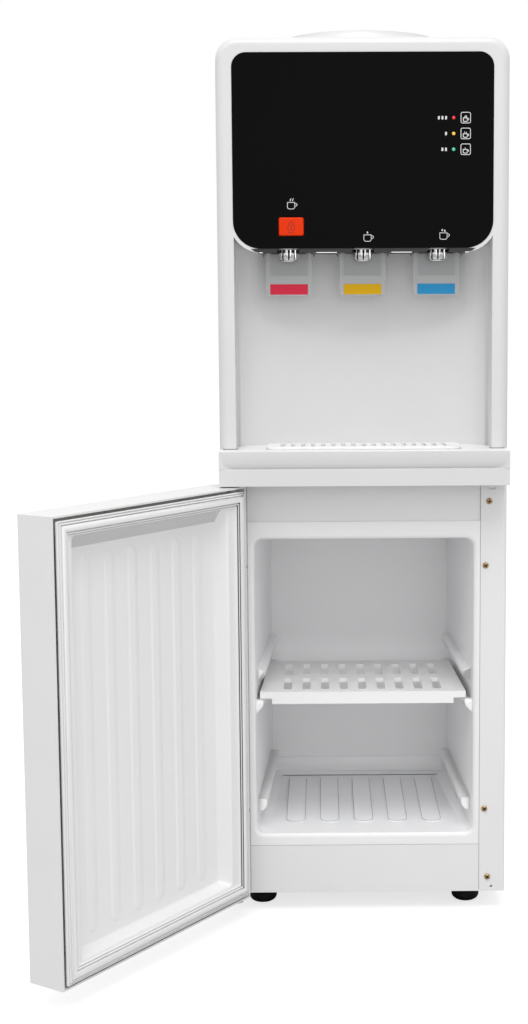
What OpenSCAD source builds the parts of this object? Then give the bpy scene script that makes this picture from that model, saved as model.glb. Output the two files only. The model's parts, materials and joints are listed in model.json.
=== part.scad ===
// Floor-standing dispenser for hot, warm and cold water, fed by a bottle on top, with a storage
// cabinet below. Millimetres, +Z up. The origin is on the floor under the middle of the cabinet.
// Parts are drawn in cabinet coordinates, where Y counts back from the cabinet's front plane and
// X from its middle. seat() moves them to the origin.

/* [Cabinet] */
// Width across the steel side panels
body_w = 322; // [312:1:340]
// Depth from the front plane to the rear flanges
body_d = 300; // [294:1:340]
// Height of the floor pan above the ground
foot_h = 21.5; // [18:0.5:30]
// Thickness of the sheet steel
sheet = 1; // [0.8:0.1:1.4]
// Radius of the side panels' bent corners
bend_r = 3; // [2:0.5:5]
// Width of the side panels' front flanges beside the cabinet
flange_w = 29.5; // [26:0.5:34]
// Width of the side panels' other flanges
rear_flange_w = 13; // [10:1:20]
// Height of the plinth below the cabinet liner
plinth_h = 56.4; // [45:0.2:65]
// Height of the cross panel between the liner and the drip ledge
cross_h = 44.4; // [38:0.2:50]
// Radius of the rubber feet
foot_r = 16; // [13:0.5:18]
// Distance from the cabinet's sides to the feet
foot_inset_x = 42; // [36:1:50]
// Distance from the cabinet's front and back to the feet
foot_inset_y = 38; // [30:1:50]

/* [Cabinet liner] */
// Distance from the mouth to the outside of the cabinet
mouth_side = 37; // [34:0.5:41]
// Height of the plinth edge below the mouth
mouth_sill = 14; // [10:1:20]
// Height of the liner's flange above the mouth
mouth_head = 19.6; // [14:0.2:24]
// Corner radius of the mouth
mouth_r = 9; // [6:1:14]
// Depth of the liner
liner_d = 255; // [235:1:262]
// Draft of each liner side, from mouth to back
liner_draft = 11; // [8:1:14]
// Radius of the mouth's rolled edge
roll_r = 5; // [2:0.5:6]
// Corner radius of the liner's back
back_r = 18; // [12:1:22]
// Wall of the moulded liner
liner_wall = 2; // [1.6:0.1:2.4]
// Height of the shelf's rails above the mouth's sill
rail_z = 154; // [140:1:170]
// How far the rails stand out of the liner's sides
rail_out = 9; // [7:0.5:10]

/* [Shelf] */
// Gap between the shelf and the liner's mouth
shelf_gap = 5.5; // [4.5:0.5:7]
// Depth of the shelf
shelf_d = 168; // [160:1:175]
// Distance of the shelf's front edge behind the front plane
shelf_y = 19; // [15:1:24]
// Thickness of the shelf's plate
shelf_t = 5; // [4:0.5:6]
// Height of the shelf's front lip
shelf_lip = 14; // [12:0.5:16]
// Width of one shelf slot
slot_w = 9.6; // [8:0.2:11]
// Length of one shelf slot
slot_l = 56; // [50:1:60]
// Distance from one shelf slot to the next
slot_pitch = 21.7; // [21:0.1:23]

/* [Door] */
// Distance of the door's edges inside the cabinet's sides
door_side = 5; // [4:0.5:7]
// Thickness of the door's shell
door_t = 46; // [42:1:50]
// Height of the door
door_h = 472; // [466:1:472]
// Gap between the door and the drip ledge
door_gap = 1.5; // [1.5:0.1:2.5]
// Distance from the shell to the cabinet's front plane when shut
door_back = 8; // [7:0.5:9]
// Distance of the hinge pin from the door's hinge edge
pin_inset = 8.7; // [8:0.1:10]
// Distance of the hinge pin in front of the cabinet
pin_out = 21; // [20:0.5:23]
// Radius of the hinge pins
pin_r = 3; // [2.5:0.1:3.2]
// How far the door stands open, in degrees
door_open = 123.6; // [95:0.2:124]
// Wall of the door's shell and liner
door_wall = 2; // [1.6:0.1:2.4]
// Width of the magnetic gasket
gasket_w = 16; // [14:0.5:18]
// Distance of the gasket from the door's edges
gasket_inset = 5; // [4.5:0.1:6]

/* [Head] */
// Height of the drip ledge's underside
ledge_z = 498; // [490:1:520]
// Height of the drip ledge
ledge_h = 38.5; // [36:0.5:42]
// How far the ledge stands in front of the cabinet
ledge_out = 39; // [36:0.5:42]
// How far the head stands in front of the cabinet
head_out = 10; // [9.5:0.5:12]
// Distance of the head's sides inside the cabinet's sides
head_side = 0.5; // [0.5:0.5:2]
// Height of the head above the drip ledge
head_h = 448.5; // [440:0.5:460]
// Width of the pillars beside the dispensing bay
pillar_w = 18.3; // [16:0.1:22]
// Radius of the head's upper corners
head_r = 24; // [20:1:26]
// Radius of the head's outer front edges
soft_r = 9; // [5:0.5:9]
// Wall of the head's mouldings
wall = 2.5; // [2:0.1:3]
// Height of the bay below the tap plate
bay_h = 217.3; // [205:0.1:225]
// Depth of the bay behind the cabinet's front plane at its middle
bay_y = 67; // [60:1:72]
// How far the bay's back wall bows
bay_bow = 26.5; // [20:0.5:32]
// Corner radius of the bay's back wall
bay_r = 24; // [16:1:30]
// Height of the black control panel
panel_h = 210.4; // [200:0.2:215]
// Radius of the control panel's lower corners
panel_low_r = 30; // [24:1:36]
// Radius of the control panel's upper corners
panel_top_r = 15.5; // [12:0.5:18]
// White rim left below the control panel's corners
panel_rim = 4; // [3:0.5:5]

/* [Drip tray] */
// Width of the drip tray
tray_w = 216; // [200:1:230]
// Depth of the drip tray from front to back
tray_d = 54; // [46:1:60]
// Distance of the drip tray behind the ledge's front
tray_front = 22; // [16:1:26]
// Corner radius of the drip tray's rim and grille
tray_r = 12; // [8:1:16]
// Corner radius of the drip tray's pan below its rim
pan_r = 4; // [3:0.5:5]
// Height of the drip tray
tray_h = 21; // [18:0.5:23]
// Wall of the drip tray
tray_wall = 2; // [1.6:0.1:2.4]
// Width of the rim that the drip tray hangs by
tray_lip = 4; // [3:0.5:6]
// Gap between the tray and its well
tray_gap = 1; // [0.6:0.1:1.5]
// Thickness of the drip grille
grille_t = 3.2; // [2.6:0.1:3.6]

/* [Taps] */
// Distance of the taps' axes behind the cabinet's front plane
tap_y = 12; // [10:0.5:13]
// Distance from one tap to the next
tap_pitch = 82.5; // [78:0.5:84]
// Outer radius of the spouts
spout_r = 9.4; // [8:0.1:10]
// Bore radius of the spouts
spout_bore = 5; // [4:0.1:5.5]
// How far the spouts hang below the tap plate
spout_drop = 10; // [8:0.1:12]
// Width of a tap lever's paddle
lever_w = 51.4; // [46:0.2:54]
// How far the levers hang below the tap plate
lever_drop = 47.2; // [42:0.1:50]
// Thickness of the paddles
lever_t = 3; // [2.5:0.1:3.5]
// Distance of the paddles behind the taps' axes
lever_y = 12.5; // [12:0.5:14]
// Height of the levers' pins above the tap plate's underside
lever_pin_z = 15; // [13:0.5:17]
// Radius of the levers' pins
lever_pin_r = 2; // [1.5:0.1:2.2]
// Width of the coloured strips
strip_w = 42.2; // [38:0.2:44]
// Height of the coloured strips
strip_h = 11.5; // [9:0.5:13]

/* [Lock button and lamps] */
// Width of the lock button
button_w = 27.4; // [22:0.2:30]
// Height of the lock button
button_h = 20; // [16:0.2:22]
// Distance of the lock button left of the middle
button_x = 78.9; // [70:0.2:84]
// Distance from the panel's lower edge to the lock button
button_z = 13.7; // [11:0.1:20]
// Travel of the lock button
button_travel = 2; // [1:0.5:2]
// Distance of the lamps right of the middle
lamp_x = 98.9; // [85:0.2:105]
// Distance from the panel's lower edge to the lowest lamp
lamp_z = 106.2; // [95:0.2:112]
// Distance from one lamp to the next
lamp_pitch = 16.9; // [14:0.1:20]
// Radius of the lamps' lenses
lamp_r = 1.9; // [1.5:0.1:2.5]

/* [Bottle seat] */
// Distance of the bottle's axis behind the front plane
bottle_y = 135; // [125:1:145]
// Radius of the collar's rim
rim_r = 90; // [80:1:96]
// Height of the collar's rim above the top cover
rim_h = 15; // [12:0.5:20]
// Radius of the flare round the collar's foot
flare_r = 16; // [10:1:20]
// Radius of the bottle well inside the rim
well_r = 82; // [74:1:84]
// Depth of the bottle well below the top cover
well_d = 26; // [22:1:30]
// Radius of the water probe
probe_r = 8; // [7:0.5:10]
// Height of the water probe above its base
probe_h = 38; // [34:1:46]

/* [Water and cooling system] */
// Radius of the cold tank
cold_r = 70; // [60:1:72]
// Height of the cold tank
cold_h = 120; // [100:1:124]
// Thickness of the foam round the cold tank
foam_t = 18; // [12:1:20]
// Radius of the hot tank
hot_r = 52; // [44:1:56]
// Height of the hot tank
hot_h = 150; // [130:1:165]
// Thickness of the wrap round the hot tank
wrap_t = 15; // [10:1:18]
// Distance of the hot tank's axis behind the front plane
hot_y = 178; // [170:1:185]
// Outer radius of the silicone hoses
hose_r = 5; // [4:0.5:6]
// Width of the fan
fan_w = 92; // [80:1:92]
// Thickness of the fan
fan_t = 20; // [15:1:25]
// Number of the fan's blades
blades = 7; // [5:1:9]
// Thickness of the circuit boards
board_t = 1.6; // [1.2:0.2:2]

/* [Hidden] */
$fn = 48;
snug = 0.3; // gap between bodies that move past each other
run = 0.05; // radial running clearance of a pin
cut = 1; // how far a cutting tool reaches past what it cuts
half_w = body_w / 2;
front_out = -head_out;
ledge_front = -ledge_out;
mouth_w = body_w - 2 * mouth_side;
shelf_w = mouth_w - 2 * shelf_gap;
door_w = body_w - 2 * door_side;
head_w = body_w - 2 * head_side;
foot_pitch_x = body_w - 2 * foot_inset_x;
seam_x = half_w - flange_w;
foot_flat_r = 8;
foot_dome_h = 7;
foot_stud_r = 3;
liner_z = foot_h + plinth_h;
cross_z = ledge_z - cross_h;
ledge_top = ledge_z + ledge_h;
head_top = ledge_top + head_h;
plate_z = ledge_top + bay_h;
plate_t = 3;
bay_w = head_w - 2 * pillar_w;
bay_arc_r = (pow(bay_w / 2, 2) + pow(bay_bow, 2)) / (2 * bay_bow);
panel_z = plate_z + panel_rim;
panel_w = bay_w + 1;
panel_t = 3;
panel_y = front_out - 0.5;
pocket_d = 2.5;
lid_h = 28;
side_top = head_top - lid_h;
door_z = ledge_z - door_gap - door_h;
door_front = -door_back - door_t;
hinge_x = -door_w / 2 + pin_inset;
hinge_t = 1;
hinge_arm_r = 7.5;
bush_r = 4.5;
bush_l = 11;
shelf_z = liner_z + mouth_sill + rail_z;
rail_l = liner_d - 43;
screw_r = 1.6;
screw_head_r = 3.5;
screw_head_h = 1.2;
panel_screw_x = seam_x + 9.7;
liner_screw_x = seam_x + 5.9;
screw_spots = [[panel_screw_x, ledge_z - 22], [liner_screw_x, cross_z - 50.6],
    [liner_screw_x, liner_z + 42.2], [panel_screw_x, foot_h + 17.7]];
gasket_t = 5.8;
neck_l = 11;
tank_shelf_z = head_top - well_d - neck_l - cold_h - foam_t - sheet;
cold_z = tank_shelf_z + sheet + foam_t;
hot_z = ledge_z + sheet + 44;
fan_z = cold_z + cold_h / 2;
fan_y = body_d - 2 * sheet - fan_t - 0.5;
board_y = panel_y + panel_t + 5.2;
drain_x = half_w - 69;
drain_z = ledge_z + 22;
gland_x = -half_w + 43;
gland_z = ledge_z + 30;
switch_x = -half_w + 61;
switch_z = ledge_z + 190;
tray_sink = 0.2;
tray_rim_t = 2;
inlet_l = 18;
stub_l = 1.5;
rim_wall = 5.5;
rocker_w = 13;
rocker_h = 21;
rocker_tilt = 8;

function liner_flange_h() = ledge_z - cross_h - foot_h - plinth_h;
function tap_x(i) = (i - 1) * tap_pitch;

// Moves a part from cabinet coordinates to the origin
module seat() {
    translate([0, -body_d / 2, 0]) children();
}

// Extrudes an outline drawn in X and Z backwards from y
module upright(y, depth) {
    translate([0, y + depth, 0]) rotate([90, 0, 0]) linear_extrude(depth) children();
}

// Extrudes an outline drawn in Y and Z along X from x
module sideways(x, length) {
    translate([x, 0, 0]) rotate([90, 0, 90]) linear_extrude(length) children();
}

// Rectangle standing on y = 0 and centred on x, with its lower and upper corners rounded
module round_rect(w, h, low_r, high_r) {
    square_w = w - 2 * max(low_r, high_r);
    translate([-square_w / 2, 0]) square([square_w, h]);
    translate([-w / 2, low_r]) square([w, h - low_r - high_r]);
    for (side = [-1, 1]) {
        rounded_corner(side * w / 2, 0, side, 1, low_r, max(low_r, high_r));
        rounded_corner(side * w / 2, h, side, -1, high_r, max(low_r, high_r));
    }
}

// Fills one corner of round_rect: a quarter disc, and the strip beside it up to the wide square
module rounded_corner(x, y, side, up, r, reach) {
    if (r > 0) {
        translate([x - side * r, y + up * r]) intersection() {
            circle(r);
            translate([side > 0 ? -r / 2 : -r, up > 0 ? -r : -r / 2]) square(1.5 * r);
        }
        if (reach > r)
            translate([side > 0 ? x - reach : x + r, up > 0 ? y : y - r]) square([reach - r, r]);
    }
}

// Slot with round ends, from one point to another along X or Y
module slot(w, l) {
    square([w, l - w], center = true);
    for (end = [-1, 1]) translate([0, end * (l - w) / 2]) circle(w / 2);
}

// Tube along a run of points, with a rounded elbow fitting at each bend
module run_of(points, r) {
    for (i = [0 : len(points) - 2]) {
        step = points[i + 1] - points[i];
        l = norm(step);
        translate(points[i])
            rotate([0, acos(step[2] / l), atan2(step[1], step[0])])
            cylinder(r = r, h = l);
        if (i > 0) translate(points[i]) sphere(r + 1.2);
    }
}

// Plan of the bent sheet round the body, between two insets from its outside
module body_plan(inset) {
    r = bend_r - inset;
    translate([0, inset])
        round_rect(body_w - 2 * inset, body_d - 2 * inset, r, r);
}

// Plan of one side panel with the given front flange
module side_plan(front_w) {
    difference() {
        body_plan(0);
        body_plan(sheet);
        translate([-half_w - cut, -cut]) square([2 * half_w - front_w + cut, body_d / 2 + cut]);
        translate([-half_w - cut, body_d / 2 - cut])
            square([2 * half_w - rear_flange_w + cut, body_d / 2 + 2 * cut]);
    }
}

module side_panel() {
    color("whitesmoke") seat() difference() {
        union() {
            translate([0, 0, foot_h + 0.5]) linear_extrude(ledge_z - foot_h - 0.5)
                side_plan(flange_w);
            translate([0, 0, ledge_z]) linear_extrude(ledge_h)
                difference() {
                    side_plan(rear_flange_w);
                    translate([0, -cut]) square([half_w - sheet, bend_r + cut]);
                }
            translate([0, 0, ledge_top]) linear_extrude(side_top - ledge_top)
                side_plan(rear_flange_w);
        }
        for (spot = screw_spots)
            translate([spot[0], -cut, spot[1]]) rotate([-90, 0, 0])
                cylinder(r = screw_r + run, h = sheet + 2 * cut);
        translate([half_w - 16.9, 0, ledge_z - 6.6]) cube([8, 2 * bend_r, 3.4], center = true);
        translate([half_w - 15.2, -cut, foot_h + 6.2]) rotate([-90, 0, 0])
            cylinder(r = 1.6, h = sheet + 2 * cut);
    }
}
module right_side_panel() side_panel();
module left_side_panel() mirror([1, 0, 0]) side_panel();

module base_pan() {
    inner_w = body_w - 2 * sheet;
    depth = body_d - 2 * bend_r;
    color("gainsboro") seat() translate([0, bend_r, foot_h]) difference() {
        translate([-inner_w / 2, 0, 0]) cube([inner_w, depth, 14]);
        translate([-inner_w / 2 + sheet, sheet, sheet])
            cube([inner_w - 2 * sheet, depth - 2 * sheet, 14]);
        for (x = [-1, 1], y = [foot_inset_y, body_d - foot_inset_y])
            translate([x * foot_pitch_x / 2, y - bend_r, -cut])
                cylinder(r = foot_stud_r + 0.1, h = 4);
    }
}

// Rubber foot: a domed pad under a neck, with a stud for the floor pan
module foot() {
    dome_w = foot_r - foot_flat_r;
    rotate_extrude() polygon([[0, 0],
        for (turn = [0 : 15 : 90]) [foot_flat_r + dome_w * sin(turn), foot_dome_h * (1 - cos(turn))],
        [foot_r, foot_dome_h + 4], [foot_r - 4, foot_dome_h + 7], [foot_r - 4, foot_h],
        [foot_stud_r, foot_h], [foot_stud_r, foot_h + 6], [0, foot_h + 6]]);
}

module feet() {
    color("dimgray") seat()
        for (x = [-1, 1], y = [foot_inset_y, body_d - foot_inset_y])
            translate([x * foot_pitch_x / 2, y, 0]) foot();
}

// Round grille of ring slots between spokes
module ring_grille(r) {
    for (ring = [0.3 : 0.16 : 0.95])
        difference() {
            circle(ring * r);
            circle(ring * r - 3.4);
            for (turn = [0 : 45 : 135])
                rotate(turn) square([2 * r, 4], center = true);
        }
}

module rear_panel() {
    panel_y0 = body_d - 2 * sheet;
    color("whitesmoke") seat() difference() {
        union() {
            upright(panel_y0, sheet)
                translate([-half_w + bend_r, foot_h + 0.5])
                square([body_w - 2 * bend_r, side_top - foot_h - 0.5]);
            for (row = [0 : 7], side = [-1, 1])
                translate([side * 58, 0, 150 + 16 * row]) louvre(panel_y0 + sheet, 84);
        }
        upright(panel_y0 - cut, 3 * cut) translate([0, fan_z]) ring_grille(fan_w / 2 - 3);
        for (row = [0 : 7], side = [-1, 1])
            translate([side * 58 - 42, panel_y0 - cut, 147.6 + 16 * row]) cube([84, 5.4, 4]);
        upright(panel_y0 - cut, 3 * cut) {
            translate([gland_x, gland_z]) circle(8 + run);
            translate([drain_x, drain_z]) circle(9 + run);
            translate([switch_x - 17, switch_z - 12]) square([34, 24]);
        }
    }
}

// Hood pressed out of the rear panel over one air slot
module louvre(y, w) {
    sideways(-w / 2 - 1.5, w + 3)
        polygon([[y - 0.2, 3.5], [y, 3.5], [y + 4, -2.6], [y + 3.2, -2.6], [y - 0.2, 2.4]]);
    for (side = [-1, 1])
        sideways(side * (w / 2 + 1) - 0.5, 1)
            polygon([[y - 0.2, 3.5], [y, 3.5], [y + 4, -2.6], [y - 0.2, -2.6]]);
}

module plinth_panel() {
    w = 2 * seam_x;
    color("whitesmoke") seat() difference() {
        union() {
            upright(0, sheet) translate([-seam_x, foot_h + 0.5])
                square([w, plinth_h - 0.5]);
            upright(sheet, 2 * sheet) translate([-half_w + 4, foot_h + 0.5])
                square([body_w - 8, 40]);
            translate([-seam_x, sheet, liner_z - sheet]) cube([w, 14, sheet]);
            translate([-seam_x, 3 * sheet, foot_h + 40.5 - sheet]) cube([w, 8, sheet]);
            upright(sheet, 2 * sheet) translate([-seam_x, foot_h + 20])
                square([w, plinth_h - 20]);
        }
        screw_holes(0);
        translate([half_w - 15.2, -cut, foot_h + 6.2]) rotate([-90, 0, 0])
            cylinder(r = 1.6, h = 3 * sheet + 2 * cut);
    }
}

// Bores for the flange screws in what lies behind the side panels' flanges
module screw_holes(y) {
    for (spot = screw_spots, side = [-1, 1])
        translate([side * spot[0], y - cut, spot[1]]) rotate([-90, 0, 0])
            cylinder(r = screw_r + run, h = 12);
}

module upper_crossmember() {
    color("gainsboro") seat() difference() {
        union() {
            upright(sheet, sheet) translate([-half_w + 4, cross_z])
                square([body_w - 8, cross_h]);
            translate([-half_w + 4, 2 * sheet, ledge_z - sheet])
                cube([body_w - 8, 24, sheet]);
            translate([-half_w + 4, 2 * sheet, cross_z]) cube([body_w - 8, 12, sheet]);
        }
        screw_holes(0);
    }
}

module mid_deck() {
    y = bay_y + 12;
    depth = body_d - y - bend_r;
    color("lightgray") seat() {
        translate([-half_w + sheet, y, ledge_z]) cube([body_w - 2 * sheet, depth, sheet]);
        for (side = [-1, 1])
            translate([side * (half_w - 1.5 * sheet) - sheet / 2, y, ledge_z])
                cube([sheet, depth, 16]);
    }
}

module tank_shelf() {
    y = bay_y + 14;
    depth = body_d - y - bend_r;
    color("lightgray") seat() difference() {
        union() {
            translate([-half_w + sheet, y, tank_shelf_z]) cube([body_w - 2 * sheet, depth, sheet]);
            for (side = [-1, 1])
                translate([side * (half_w - 1.5 * sheet) - sheet / 2, y, tank_shelf_z - 20])
                    cube([sheet, depth, 20]);
        }
        for (side = [-1, 1])
            translate([side * (half_w - 37), hot_y, tank_shelf_z - cut]) cylinder(r = 14, h = 4);
    }
}

// Cross-section of the liner in X and Z, drafted by dx at its sides and grown by grow
module tub_section(dx, r, grow) {
    w = mouth_w - 2 * dx + 2 * grow;
    h = liner_flange_h() - mouth_sill - mouth_head + 2 * grow;
    translate([0, liner_z + mouth_sill - grow]) round_rect(w, h, r + grow, r + grow);
}

module tub(grow, from_y) {
    slice = 0.1;
    back_drop = 1.5;
    hull() {
        upright(from_y, slice) tub_section(0, mouth_r, grow, $fn = 32);
        upright(liner_d + grow - slice, slice) translate([0, -back_drop])
            tub_section(liner_draft, back_r, grow, $fn = 32);
    }
}

// Cuts the rolled edge of the mouth: slices of a quarter circle, from the front face inwards
module mouth_roll() {
    steps = 3;
    slice = 0.1;
    sink = 0.3;
    for (i = [0 : steps - 1])
        hull()
            for (turn = [90 * i / steps, 90 * (i + 1) / steps])
                upright(roll_r * (1 - cos(turn)) - slice, slice)
                    tub_section(0, mouth_r, (roll_r + sink) * (1 - sin(turn)) - sink, $fn = 32);
}

// One rail along a liner side, from its outline in distance from the wall and height
module rail(outline) {
    draft_turn = atan2(liner_draft, liner_d);
    for (side = [0, 1])
        mirror([side, 0, 0]) translate([mouth_w / 2, 0, 0]) rotate([0, 0, draft_turn])
            translate([0, shelf_y + 1, 0]) rotate([90, 0, 180])
            linear_extrude(rail_l) polygon(outline);
}

module cabinet_liner() {
    top = shelf_z;
    low = liner_z + mouth_sill + 22;
    pad_w = 21.7;
    pad_y = 42;
    pad_l = liner_d - pad_y - 25;
    step_w = mouth_w - 2 * liner_draft + 1.5 * liner_wall;
    color("white") seat() difference() {
        union() {
            difference() {
                union() {
                    upright(0, 3) translate([-seam_x, liner_z]) square([2 * seam_x, liner_flange_h()]);
                    upright(sheet, 2) translate([-seam_x - 20, liner_z])
                        square([2 * seam_x + 40, liner_flange_h()]);
                    tub(liner_wall, 1);
                }
                tub(0, -cut);
                mouth_roll();
            }
            rail([[-1.5, top + 19], [rail_out, top + 25], [rail_out, top + 30], [6, top + 34],
                [-1.5, top + 34]]);
            rail([[-1.5, top], [rail_out, top], [rail_out, top - 7], [-1.5, top - 18.5]]);
            rail([[-1.5, low + 14], [rail_out + 1, low + 13], [rail_out + 1, low + 5],
                [6, low], [-1.5, low]]);
            for (i = [-2 : 2])
                translate([40 * i, 0, liner_z + mouth_sill - 2])
                    linear_extrude(3.2) translate([0, pad_y + pad_l / 2]) slot(pad_w, pad_l);
            translate([-step_w / 2, liner_d - 14, liner_z + mouth_sill - 2])
                cube([step_w, 14.8, 8]);
        }
        screw_holes(0);
    }
}

module cabinet_screws() {
    color("peru") seat()
        for (spot = screw_spots, side = [-1, 1])
            translate([side * spot[0], 0, spot[1]]) rotate([90, 0, 0]) difference() {
                union() {
                    cylinder(r1 = screw_head_r, r2 = screw_head_r - 1, h = screw_head_h);
                    translate([0, 0, -8]) cylinder(r = screw_r, h = 8);
                }
                for (turn = [0, 90])
                    rotate(turn) translate([-2, -0.4, screw_head_h - 0.8]) cube([4, 0.8, 2]);
            }
}

// Arm of a hinge plate in plan: round about the pin, straight back to y
module hinge_arm(y) {
    translate([hinge_x, -pin_out]) circle(hinge_arm_r);
    translate([hinge_x - hinge_arm_r, -pin_out]) square([2 * hinge_arm_r, pin_out + y]);
}

module top_hinge_plate() {
    color("silver") seat() {
        translate([0, 0, ledge_z - hinge_t]) linear_extrude(hinge_t) hinge_arm(0);
        translate([hinge_x - hinge_arm_r, -hinge_t, ledge_z - 16])
            cube([10, hinge_t, 16]);
        translate([hinge_x, -pin_out, ledge_z - hinge_t - bush_l]) cylinder(r = pin_r, h = bush_l);
    }
}

module bottom_hinge_plate() {
    plate_top = foot_h;
    color("silver") seat() {
        translate([0, 0, plate_top - 2]) linear_extrude(2) hinge_arm(foot_inset_y - foot_r - 4);
        translate([hinge_x, -pin_out, plate_top]) cylinder(r = pin_r, h = door_z + bush_l - plate_top);
    }
}

// Plan of the dispensing bay, kept inside its curved back wall and round corners by inset
module bay_plan(inset) {
    arc_y = bay_y - bay_arc_r;
    corner_x = bay_w / 2 - bay_r;
    corner_y = arc_y + sqrt(pow(bay_arc_r - bay_r, 2) - pow(corner_x, 2));
    meet_x = corner_x * (bay_arc_r - inset) / (bay_arc_r - bay_r);
    intersection() {
        translate([0, arc_y]) circle(bay_arc_r - inset, $fn = 96);
        translate([-meet_x, front_out - cut]) square([2 * meet_x, 2 * bay_y]);
    }
    translate([-bay_w / 2 + inset, front_out - cut])
        square([bay_w - 2 * inset, corner_y - front_out + cut]);
    for (side = [-1, 1]) translate([side * corner_x, corner_y]) circle(bay_r - inset);
}

module tray_housing() {
    w = body_w - 2 * sheet;
    groove_h = 7.4;
    groove_d = 3.4;
    groove_z = ledge_h - 12 - groove_h;
    top_t = 8.5;
    color("whitesmoke") seat() translate([0, 0, ledge_z]) difference() {
        translate([-w / 2, ledge_front, 0]) cube([w, ledge_out + bay_y + 12, ledge_h]);
        // hollow underneath
        translate([-w / 2 + 3, ledge_front + 3 + groove_d, -cut])
            cube([w - 6, ledge_out + bay_y + 6 - groove_d, ledge_h - top_t + cut]);
        // opening of the drip tray, with a seat for its rim
        translate([0, 0, -cut]) linear_extrude(ledge_h + 2 * cut) pan_plan(tray_gap);
        translate([0, 0, ledge_h - tray_sink - tray_rim_t - snug]) linear_extrude(ledge_h)
            tray_plan(-tray_gap);
        // shadow groove along the front, fading out at its ends
        intersection() {
            sideways(-w / 2, w) polygon([[ledge_front - cut, groove_z + groove_h + 0.6],
                [ledge_front + groove_d, groove_z], [ledge_front - cut, groove_z]]);
            linear_extrude(ledge_h) polygon([[-w / 2 + 5, ledge_front],
                [-w / 2 + 22, ledge_front + 4], [w / 2 - 22, ledge_front + 4],
                [w / 2 - 5, ledge_front], [w / 2 - 5, ledge_front - cut],
                [-w / 2 + 5, ledge_front - cut]]);
        }
        // lower face set back a little
        translate([-w, ledge_front - cut, -cut]) cube([2 * w, cut + 0.5, groove_z + cut]);
    }
}

// Plan of the tray's rim and grille, set in by inset
module tray_plan(inset) {
    translate([0, ledge_front + tray_front + inset])
        round_rect(tray_w - 2 * inset, tray_d - 2 * inset, tray_r - inset, tray_r - inset);
}

// Plan of the tray's pan below its rim, grown by grow
module pan_plan(grow) {
    inset = tray_lip - grow;
    translate([0, ledge_front + tray_front + inset])
        round_rect(tray_w - 2 * inset, tray_d - 2 * inset, pan_r + grow, pan_r + grow);
}

module drip_tray() {
    z = ledge_top - tray_h - tray_sink;
    color("whitesmoke") seat() translate([0, 0, z]) difference() {
        union() {
            linear_extrude(tray_h) pan_plan(0);
            translate([0, 0, tray_h - tray_rim_t]) linear_extrude(tray_rim_t) tray_plan(0);
        }
        translate([0, 0, tray_wall]) linear_extrude(tray_h) pan_plan(-tray_wall);
    }
}

module drip_grille() {
    z = ledge_top - tray_sink + snug;
    columns = 17;
    pitch = (tray_w - 2 * tray_r) / columns;
    color("white") seat() translate([0, 0, z]) difference() {
        linear_extrude(grille_t) tray_plan(0);
        translate([0, ledge_front + tray_front + tray_d / 2, -cut])
            linear_extrude(grille_t + 2 * cut)
            for (column = [0 : columns - 1])
                translate([pitch * (column - (columns - 1) / 2), 0]) slot(5, tray_d - 16);
    }
}

// Black panel's outline in X and Z, grown by grow
module panel_outline(grow) {
    translate([0, panel_z - grow])
        round_rect(panel_w + 2 * grow, panel_h + 2 * grow, panel_low_r + grow, panel_top_r + grow);
}

// Opening of the bay in X and Z, with its walls moved out by grow
module bay_opening(grow) {
    difference() {
        translate([-bay_w / 2 - grow, ledge_top - cut])
            square([bay_w + 2 * grow, plate_z + panel_low_r + 4 + grow - ledge_top + cut]);
        panel_outline(panel_rim - grow);
    }
}

// Section of the head's rim: out from its corner's centre line, and back from its soft front edge
module rim_section() {
    difference() {
        translate([0, front_out]) square([head_r, head_out]);
        translate([head_r - soft_r, front_out - cut]) square([soft_r + cut, soft_r + cut]);
    }
    translate([head_r - soft_r, front_out + soft_r]) intersection() {
        circle(soft_r);
        translate([0, -soft_r]) square(soft_r);
    }
}

// Outer body of the head: a block with its rim run up both sides, over the corners and the top
module head_body() {
    core_w = head_w - 2 * head_r;
    core_h = head_h - head_r;
    translate([-core_w / 2, front_out, ledge_top]) cube([core_w, head_out, core_h]);
    translate([0, 0, ledge_top + core_h]) sideways(-core_w / 2, core_w)
        mirror([1, -1]) rim_section();
    for (side = [0, 1])
        mirror([side, 0, 0]) translate([core_w / 2, 0, ledge_top]) {
            linear_extrude(core_h) rim_section();
            translate([0, 0, core_h]) rotate([-90, 0, 0]) rotate([0, 0, -90])
                rotate_extrude(angle = 90) rim_section();
        }
}

module front_housing() {
    pocket = snug / 2;
    color("white") seat() difference() {
        head_body();
        upright(front_out - cut, head_out + 2 * cut) bay_opening(0);
        // hollow behind the front wall, open beside the bay where the splash back stands
        upright(front_out + 3, head_out) {
            translate([0, ledge_top + wall])
                round_rect(head_w - 2 * rim_wall, head_h - wall - rim_wall, 0, head_r - rim_wall);
            translate([0, ledge_top - cut]) square_on_x(bay_w + 2 * wall, 2 * wall);
        }
        // pocket and window of the control panel
        upright(front_out - cut, pocket_d + cut) panel_outline(pocket);
        upright(front_out - cut, 6 + cut) panel_outline(-9);
        // shadow gap under the front edges of the pillars
        translate([-head_w, front_out - cut, ledge_top - cut]) cube([2 * head_w, 3, cut + 0.8]);
        // mouth of the tap plate
        translate([-bay_w / 2 + 26, front_out - cut, plate_z - 2])
            cube([bay_w - 52, head_out + 2 * cut, panel_rim + 2]);
    }
}

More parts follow.
